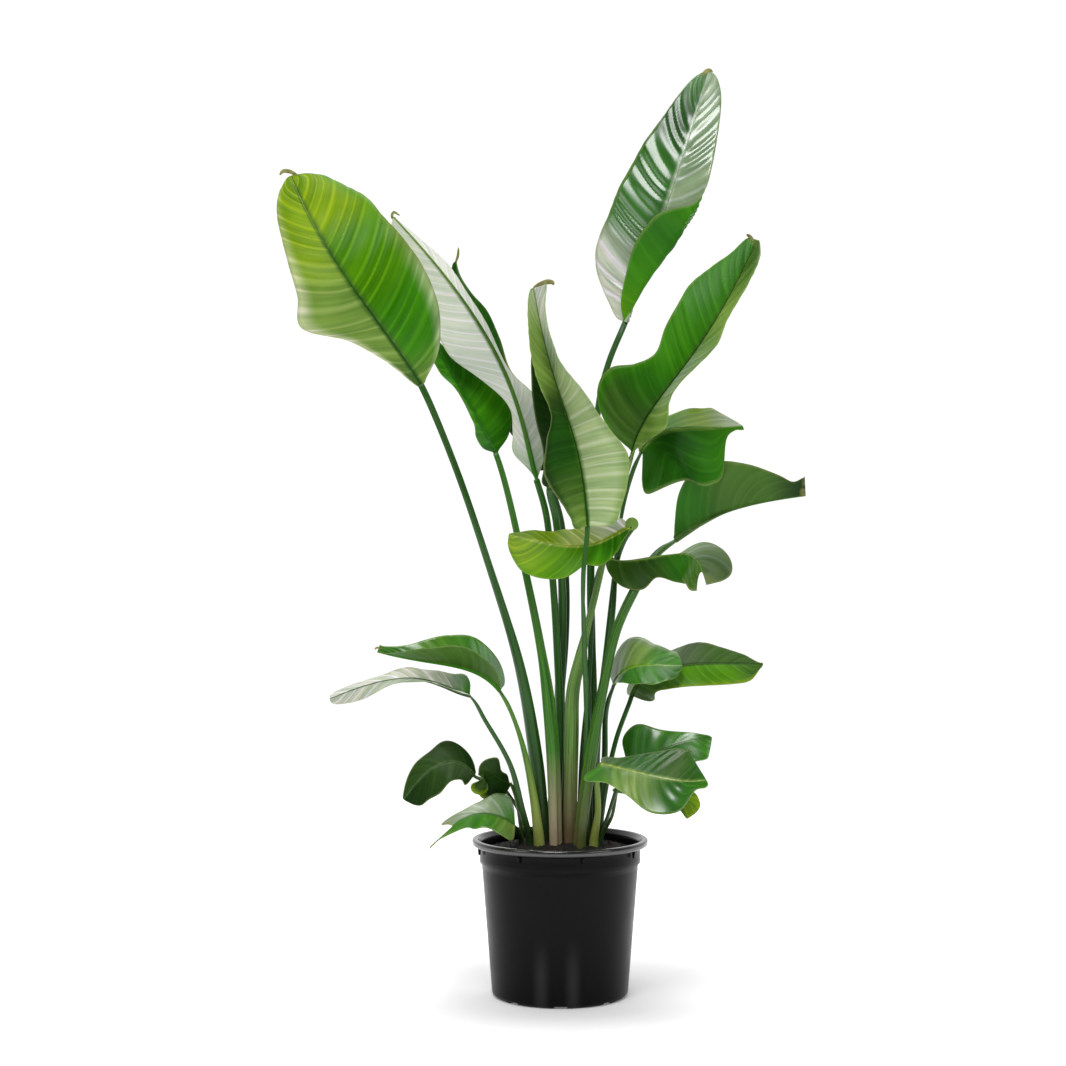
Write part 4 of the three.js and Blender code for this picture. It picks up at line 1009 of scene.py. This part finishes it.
def moulded_plastic(tree, colour, sheen, rough):
    """Moulded black polyethylene: a soft satin sheen, faint upright flow lines about 17 mm wide, a grain of
    1 mm, scuffed patches of about 45 mm, and two upright streaks of painted highlight low on the front.
    The rolled rim is glossier than the wall."""
    place = add(tree, "ShaderNodeTexCoord").outputs["Object"]
    upright = add(tree, "ShaderNodeMapping", {0: place, 3: (60.0, 60.0, 2.5)})
    flow = add(tree, "ShaderNodeTexNoise", {0: upright, 2: 1.0, 3: 3.0})
    grain = add(tree, "ShaderNodeTexNoise", {0: place, 2: 900.0})
    scuffs = add(tree, "ShaderNodeTexNoise", {0: place, 2: 22.0, 3: 6.0, 4: 0.7})
    rough = add(tree, "ShaderNodeMapRange", {0: scuffs, 1: 0.35, 2: 0.75, 3: rough, 4: rough + 0.12})
    dusty = add(tree, "ShaderNodeMapRange", {0: scuffs, 1: 0.55, 2: 0.8, 4: 0.02})
    tone = add(tree, "ShaderNodeMix", {0: dusty, 6: rgba(colour), 7: rgba(linear(DUST))}, data_type="RGBA")
    spot = add(tree, "ShaderNodeSeparateXYZ", {0: place})
    low = add(
        tree, "ShaderNodeMapRange", {0: spot.outputs[2], 1: 0.11, 2: 0.04, 4: 0.12},
        interpolation_type="SMOOTHSTEP",
    )
    front = add(tree, "ShaderNodeMapRange", {0: spot.outputs[1], 1: -0.07, 2: -0.09})
    faint = add(tree, "ShaderNodeMath", {0: low, 1: front}, operation="MULTIPLY")
    # Two upright streaks of painted highlight, paler low on the front
    for x in PAINTED_HIGHLIGHT_X:
        off = add(tree, "ShaderNodeMath", {0: spot, 1: x}, operation="SUBTRACT")
        away = add(tree, "ShaderNodeMath", {0: off}, operation="ABSOLUTE")
        mark = add(tree, "ShaderNodeMapRange", {0: away, 1: 0.015, 2: 0.0}, interpolation_type="SMOOTHSTEP")
        share = add(tree, "ShaderNodeMath", {0: mark, 1: faint}, operation="MULTIPLY")
        tone = add(tree, "ShaderNodeMix", {0: share, 6: tone, 7: rgba(linear(PAINTED_HIGHLIGHT_GREY))}, data_type="RGBA")
    relief = add(tree, "ShaderNodeMath", {0: flow, 1: 0.8, 2: grain}, operation="MULTIPLY_ADD")
    bump = add(tree, "ShaderNodeBump", {0: 0.12, 1: 0.0004, 2: relief})
    return add(
        tree, "ShaderNodeBsdfPrincipled",
        {"Base Color": tone, "Roughness": rough, "IOR": 1.5, "Specular IOR Level": sheen, "Normal": bump},
    )


def potting_soil(tree, dark, light):
    """Damp peat or composted bark: crumbs of 3 to 4 mm in browns darkened almost to black, partly painted
    shade for the shade inside the pot, rough all over.
    """
    place = add(tree, "ShaderNodeTexCoord").outputs["Object"]
    crumbs = add(tree, "ShaderNodeTexNoise", {0: place, 2: 260.0, 3: 6.0, 4: 0.7})
    lumps = add(tree, "ShaderNodeTexVoronoi", {0: place, 2: 300.0})
    tone = add(tree, "ShaderNodeMix", {0: crumbs, 6: rgba(dark), 7: rgba(light)}, data_type="RGBA")
    relief = add(tree, "ShaderNodeMath", {0: crumbs, 1: lumps}, operation="ADD")
    bump = add(tree, "ShaderNodeBump", {0: 0.9, 1: 0.002, 2: relief})
    return add(tree, "ShaderNodeBsdfPrincipled", {"Base Color": tone, "Roughness": 0.92, "Normal": bump})


def plain_paper(tree, colour):
    """White paper with a painted glow that grows away from the pot, so that beyond the pot's soft shadow it
    is as pale as the background."""
    place = add(tree, "ShaderNodeTexCoord").outputs["Object"]
    pale = rgba(colour)
    away = add(tree, "ShaderNodeVectorMath", {0: place}, operation="LENGTH")
    glow = add(
        tree, "ShaderNodeMapRange", {0: away.outputs["Value"], 1: 0.15, 2: 0.5, 3: PAPER_GLOW, 4: 0.8},
    )
    return add(
        tree, "ShaderNodeBsdfPrincipled",
        {"Base Color": pale, "Roughness": 0.9, "Emission Color": pale, "Emission Strength": glow},
    )


# What a user may change


def length(name, text, default):
    """A length that a user may change, in metres."""
    return bpy.props.FloatProperty(name=name, description=text, default=default, min=0.0, unit="LENGTH")


def colour(name, text, code):
    """A colour that a user may change, given in sRGB hex."""
    return bpy.props.FloatVectorProperty(
        name=name, description=text, default=linear(code), size=3, subtype="COLOR", min=0.0, max=1.0,
    )


class PlantSizes(bpy.types.PropertyGroup):
    """The sizes that shape the pieces, in metres"""

    vein_spacing: length("Vein spacing", "Distance between the main side veins of a blade", 0.0155)
    row_step: length("Row step", "Distance between a blade's rows of points", 0.0024)
    ring_step: length("Ring step", "Distance between a stalk's rings of points", 0.006)
    rim_radius: length("Rim radius", "Outer radius of the pot's rim", 0.128)
    rim_top: length("Rim top", "Height of the pot's rim", 0.228)
    crumb_size: length("Crumb size", "Size of the largest bits of bark on the soil", 0.007)


class PlantColours(bpy.types.PropertyGroup):
    """The colours of the pot, the soil and the stage"""

    plastic: colour("Plastic", "The pot's black", PLASTIC)
    soil_dark: colour("Dark soil", "The soil's hollows", SOIL_DARK)
    soil_light: colour("Light soil", "The soil's crumbs", SOIL_LIGHT)
    bark: colour("Bark", "The bits of bark on the soil", BARK)
    floor: colour("Floor", "The surface the pot stands on", FLOOR)
    sky: colour("Surroundings", "The light from all around", SKY)


# Operators


class PLANT_OT_pot(bpy.types.Operator):
    """The nursery pot: one wall turned about Z, with drain notches at its foot and fins under its rim"""

    bl_idname = "plant.pot"
    bl_label = "Pot"

    def execute(self, context):
        sizes, colours = context.scene.plant_sizes, context.scene.plant_colours
        notches = np.radians(-90 + 360 / NOTCHES * np.arange(NOTCHES))
        half = np.arcsin(NOTCH_WIDTH / 2 / FOOT_RADIUS)
        beside = [side + slope for side in (-half, half) for slope in (-NOTCH_SLOPE, NOTCH_SLOPE)]
        edges = (notches[:, None] + beside).ravel()
        angles = np.unique(np.round(np.concatenate([np.radians(np.arange(-112, 248, 1.5)), edges]), 5))
        foot, wall, rim, inside = pot_profile(sizes.rim_radius / MM, sizes.rim_top / MM)
        profile = foot + wall + rim + inside
        points = turned_surface(profile, angles)
        radius, height = np.array(profile).T[..., None]
        off = np.abs((angles[None] - notches[:, None] + np.pi) % (2 * np.pi) - np.pi).min(axis=0)[None]
        outer = np.arange(len(profile))[:, None] < len(foot)
        cut = (off < half) & outer & (radius > NOTCH_INNER_RADIUS) & (height < NOTCH_HEIGHT)
        points[..., 2] = np.where(cut, NOTCH_HEIGHT, points[..., 2])
        rows, columns = points.shape[:2]
        shell = with_poles(points, [(0, 0, 0), (0, 0, POT_FLOOR)])
        deep, wide, high = FIN_SIZE
        corners = np.array([
            (x, y, z) for z in (0, high) for y in (-wide / 2, wide / 2) for x in (-deep / 2, deep / 2)
        ])
        corners[:4, 0] *= FIN_TAPER
        box = np.array([(0, 2, 3, 1), (4, 5, 7, 6), (0, 1, 5, 4), (2, 6, 7, 3), (0, 4, 6, 2), (1, 3, 7, 5)])
        places, faces = [shell], tube_faces(rows, columns)
        for k, angle in enumerate(np.radians(-75 + 360 / FINS * np.arange(FINS))):
            cos, sin = np.cos(angle), np.sin(angle)
            reach = FIN_REACH - FRONT_FIN_SUNK * (sin < -0.8)
            places.append((corners + (reach, 0, FIN_FOOT)) @ [[cos, sin, 0], [-sin, cos, 0], [0, 0, 1]])
            faces.append(box + len(shell) + 8 * k)
        pot = make_mesh("pot_shell", np.vstack(places), faces)
        satin = shared("moulded_black_polyethylene", moulded_plastic, colours.plastic, *WALL_GLOSS)
        glossy = shared("moulded_black_polyethylene_rim", moulded_plastic, colours.plastic, *RIM_GLOSS)
        finish_piece(pot, "pot_plastic", [satin, glossy], "pot")
        row = np.arange(len(pot.data.polygons)) // columns
        rim_start = len(foot + wall)
        rolled = (row >= rim_start) & (row < rim_start + len(rim))
        pot.data.polygons.foreach_set("material_index", rolled.astype(np.int32))
        return {"FINISHED"}


class PLANT_OT_soil(bpy.types.Operator):
    """The soil: a low crumbly mound inside the pot, with bits of bark lying on it"""

    bl_idname = "plant.soil"
    bl_label = "Soil"

    def execute(self, context):
        sizes, colours = context.scene.plant_sizes, context.scene.plant_colours
        draw = np.random.default_rng(SEED)
        angles = np.radians(np.arange(0, 360, 2))
        radii = np.linspace(1, SOIL_RADIUS, 60)[:, None]
        x, y = radii * np.cos(angles), radii * np.sin(angles)
        grit = GRIT * draw.standard_normal(x.shape)
        grit[-1] = 0
        top = np.stack([x, y, mound(x, y) + grit], -1)[::-1]
        side = turned_surface([(96, SOIL_FLOOR), (109, 188), (SOIL_RADIUS, 198)], angles)
        points = np.concatenate([side, top])
        ends = [(0, 0, SOIL_FLOOR), (0, 0, top[-1, :, 2].mean())]
        soil = make_mesh("soil_mound", with_poles(points, ends), tube_faces(*points.shape[:2]))
        earth = shared("damp_peat", potting_soil, colours.soil_dark, colours.soil_light)
        finish_piece(soil, "potting_soil", [earth], "soil")

        count = BARK_COUNT
        spread, turn = BARK_SPREAD * np.sqrt(draw.random(count)), 2 * np.pi * draw.random(count)
        mid_x, mid_y = spread * np.cos(turn), spread * np.sin(turn)
        knob = np.array([(1, 0, 0), (0, 1, 0), (-1, 0, 0), (0, -1, 0), (0, 0, 0.7), (0, 0, -0.7)])
        size = (0.18 + 0.82 * draw.random((count, 1, 1)) ** 3) * sizes.crumb_size / MM / 2
        stretch = 0.6 + 0.8 * draw.random((count, 1, 3))
        jag = 1 + 0.3 * draw.standard_normal((count, 6, 3))
        spin = 2 * np.pi * draw.random((count, 1))
        shape = knob * jag * stretch * size
        chip_x = shape[..., 0] * np.cos(spin) - shape[..., 1] * np.sin(spin) + mid_x[:, None]
        chip_y = shape[..., 0] * np.sin(spin) + shape[..., 1] * np.cos(spin) + mid_y[:, None]
        chips = np.stack([chip_x, chip_y, shape[..., 2] + (mound(mid_x, mid_y) + 0.4)[:, None]], -1)
        eight = np.array([(k, (k + 1) % 4, 4) for k in range(4)] + [((k + 1) % 4, k, 5) for k in range(4)])
        faces = (eight[None] + 6 * np.arange(count)[:, None, None]).reshape(-1, 3)
        bits = make_mesh("bark_chips", chips, faces, smooth_faces=False)
        bark = shared("composted_bark", potting_soil, colours.soil_light, colours.bark)
        finish_piece(bits, "potting_soil", [bark])
        return {"FINISHED"}


class PLANT_OT_stalks(bpy.types.Operator):
    """The stalks: each a grooved tube that rises from its sheath in the soil to its blade"""

    bl_idname = "plant.stalks"
    bl_label = "Stalks"

    def execute(self, context):
        step = context.scene.plant_sizes.ring_step / MM
        for leaf in LEAVES:
            points, uv, edge = stalk_surface(leaf, step, STALK_SIDES)
            stalk = make_mesh(
                "stem_" + leaf["name"], with_poles(points), tube_faces(*points.shape[:2], flip=True),
                uv=with_poles(uv, uv[[0, -1], 0]), edge=np.append(edge, [0, 0]),
            )
            skin = shared("stalk_rind_" + leaf["stem"], stalk_skin, *map(linear, STEMS[leaf["stem"]]))
            finish_piece(stalk, "leaf_stalk", [skin], "stalk_" + leaf["name"])
        return {"FINISHED"}


class PLANT_OT_blades(bpy.types.Operator):
    """The blades: each a pleated sheet with a keeled midrib, smoother above than below"""

    bl_idname = "plant.blades"
    bl_label = "Blades"

    def execute(self, context):
        sizes = context.scene.plant_sizes
        for leaf in LEAVES:
            grid = blade_surface(leaf, sizes.vein_spacing / MM, sizes.row_step / MM)
            rows, columns = grid["upper"].shape[:2]
            upper = grid_faces(rows, columns)
            lower = grid_faces(rows, columns, offset=rows * columns, flip=True)
            rim = rim_faces(rows, columns)
            blade = make_mesh(
                "leaf_" + leaf["name"], np.concatenate([grid["upper"], grid["lower"]]), [upper, lower, rim],
                tint=np.concatenate([grid["tint"], grid["below_tint"]]),
                **{key: np.concatenate([grid[key], grid[key]]) for key in ("uv", "margin", "dry")},
            )
            sides = np.repeat([0, 1, 1], [len(upper), len(lower), len(rim)])
            skins = [
                shared(leaf["skin"] + "_leaf_cuticle", leaf_skin, *SKINS[leaf["skin"]]),
                shared("leaf_underside", leaf_skin, *UNDERSIDE),
            ]
            finish_piece(blade, "leaf_" + leaf["slot"], skins, "blade_" + leaf["name"])
            blade.data.polygons.foreach_set("material_index", sides.astype(np.int32))
        return {"FINISHED"}


class PLANT_OT_ends(bpy.types.Operator):
    """The dried tips of the leaves, and the small lobe that rolls toward the front"""

    bl_idname = "plant.ends"
    bl_label = "Tips and lobe"

    def execute(self, context):
        places, faces = [], []
        for half, points in DRY_TIPS:
            faces += tube_faces(TIP_RINGS, TIP_SIDES, offset=sum(map(len, places)), flip=True)
            places.append(with_poles(ribbon_surface(points, half, TIP_RINGS, TIP_SIDES)))
        tips = make_mesh("dry_tips", np.vstack(places), faces)
        finish_piece(tips, "leaf_dark", [shared("withered_tissue", withered_tissue, linear(DRY))])

        share = np.linspace(0.02, 1, 12)
        dish = [(LOBE_RADIUS * t, LOBE_DEPTH * t**2 + LOBE_HALF_THICK) for t in share]
        dish += [(LOBE_RADIUS * t, LOBE_DEPTH * t**2 - LOBE_HALF_THICK) for t in share[::-1]]
        angles = 2 * np.pi * np.arange(40) / 40
        x, y, depth = np.moveaxis(turned_surface(dish, angles), -1, 0)
        wavy = depth + LOBE_WAVE * np.sin(3 * angles) * (np.hypot(x, y) / LOBE_RADIUS) ** 2
        points = np.stack([x, wavy, y], -1) + LOBE_CENTRE
        uv = np.stack([angles / 0.8 + 0 * x, 0.5 + 0.5 * np.hypot(x, y) / LOBE_RADIUS], -1)
        count = x.size + 2
        lobe = make_mesh(
            "rolled_lobe", with_poles(points), tube_faces(*x.shape, flip=True),
            uv=with_poles(uv, uv[[0, -1], 0]), tint=np.tile(linear(TONES["sage"]), (count, 1)),
            margin=np.zeros(count), dry=np.zeros(count),
        )
        finish_piece(lobe, "leaf_bright", [shared("leaf_underside", leaf_skin, *UNDERSIDE)])
        return {"FINISHED"}


class PLANT_OT_stage(bpy.types.Operator):
    """The stage: a wide pale floor, soft light from all around and from large panels, and the camera"""

    bl_idname = "plant.stage"
    bl_label = "Stage"

    def execute(self, context):
        scene, colours = context.scene, context.scene.plant_colours
        round_edge = np.radians(np.arange(0, 360, 6))
        disc = turned_surface([(FLOOR_RADIUS / MM, 0)], round_edge)
        floor = make_mesh("floor", disc, np.arange(len(round_edge))[None])
        floor.data.materials.append(shared("pale_matt_floor", plain_paper, colours.floor))

        world = bpy.data.worlds.new("surroundings")
        world.use_nodes = True
        tree = world.node_tree
        around = add(tree, "ShaderNodeTexCoord")
        split = add(tree, "ShaderNodeSeparateXYZ", {0: around.outputs["Generated"]})
        strength = add(
            tree, "ShaderNodeMapRange",
            {0: split.outputs[1], 1: -0.1, 2: 0.9, 3: FRONT_STRENGTH, 4: BACK_STRENGTH},
        )
        backdrop = tree.nodes["Background"]
        backdrop.inputs[0].default_value = rgba(colours.sky)
        tree.links.new(strength.outputs[0], backdrop.inputs[1])
        scene.world = world

        for name, place, target, wide, high, power in PANELS:
            light = bpy.data.lights.new(name, "AREA")
            light.shape, light.size, light.size_y, light.energy = "RECTANGLE", wide, high, power
            lamp = bpy.data.objects.new(name, light)
            lamp.location = place
            aim = unit(np.subtract(place, target))
            lamp.rotation_euler = (np.arccos(aim[2]), 0, np.arctan2(aim[1], aim[0]) + np.pi / 2)
            scene.collection.objects.link(lamp)

        camera = bpy.data.cameras.new("camera")
        camera.lens, camera.sensor_width = CAMERA_LENS, SENSOR_WIDTH
        view = bpy.data.objects.new("camera", camera)
        view.location = CAMERA_PLACE
        view.rotation_euler = (np.pi / 2, 0, 0)
        scene.collection.objects.link(view)
        scene.camera = view
        scene.view_settings.view_transform = "Standard"
        return {"FINISHED"}


class PLANT_PT_panel(bpy.types.Panel):
    """Lists the sizes, the colours and the pieces"""

    bl_label = "Potted plant"
    bl_idname = "PLANT_PT_panel"
    bl_space_type = "VIEW_3D"
    bl_region_type = "UI"
    bl_category = "Plant"

    def draw(self, context):
        for group in (context.scene.plant_sizes, context.scene.plant_colours):
            for name in group.__annotations__:
                self.layout.prop(group, name)
        for operator in OPERATORS:
            self.layout.operator(operator.bl_idname)


OPERATORS = (PLANT_OT_pot, PLANT_OT_soil, PLANT_OT_stalks, PLANT_OT_blades, PLANT_OT_ends, PLANT_OT_stage)
CLASSES = (PlantSizes, PlantColours, *OPERATORS, PLANT_PT_panel)


def register():
    """Makes the groups, operators and panel known, and hangs the groups on the scene."""
    for made in CLASSES:
        bpy.utils.register_class(made)
    bpy.types.Scene.plant_sizes = bpy.props.PointerProperty(type=PlantSizes)
    bpy.types.Scene.plant_colours = bpy.props.PointerProperty(type=PlantColours)


def unregister():
    """Takes back what register does."""
    del bpy.types.Scene.plant_colours
    del bpy.types.Scene.plant_sizes
    for made in reversed(CLASSES):
        bpy.utils.unregister_class(made)


def main():
    """Makes the plant, its pot and the stage."""
    register()
    bpy.ops.plant.pot()
    bpy.ops.plant.soil()
    bpy.ops.plant.stalks()
    bpy.ops.plant.blades()
    bpy.ops.plant.ends()
    bpy.ops.plant.stage()
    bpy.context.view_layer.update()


if __name__ == "__main__":
    main()
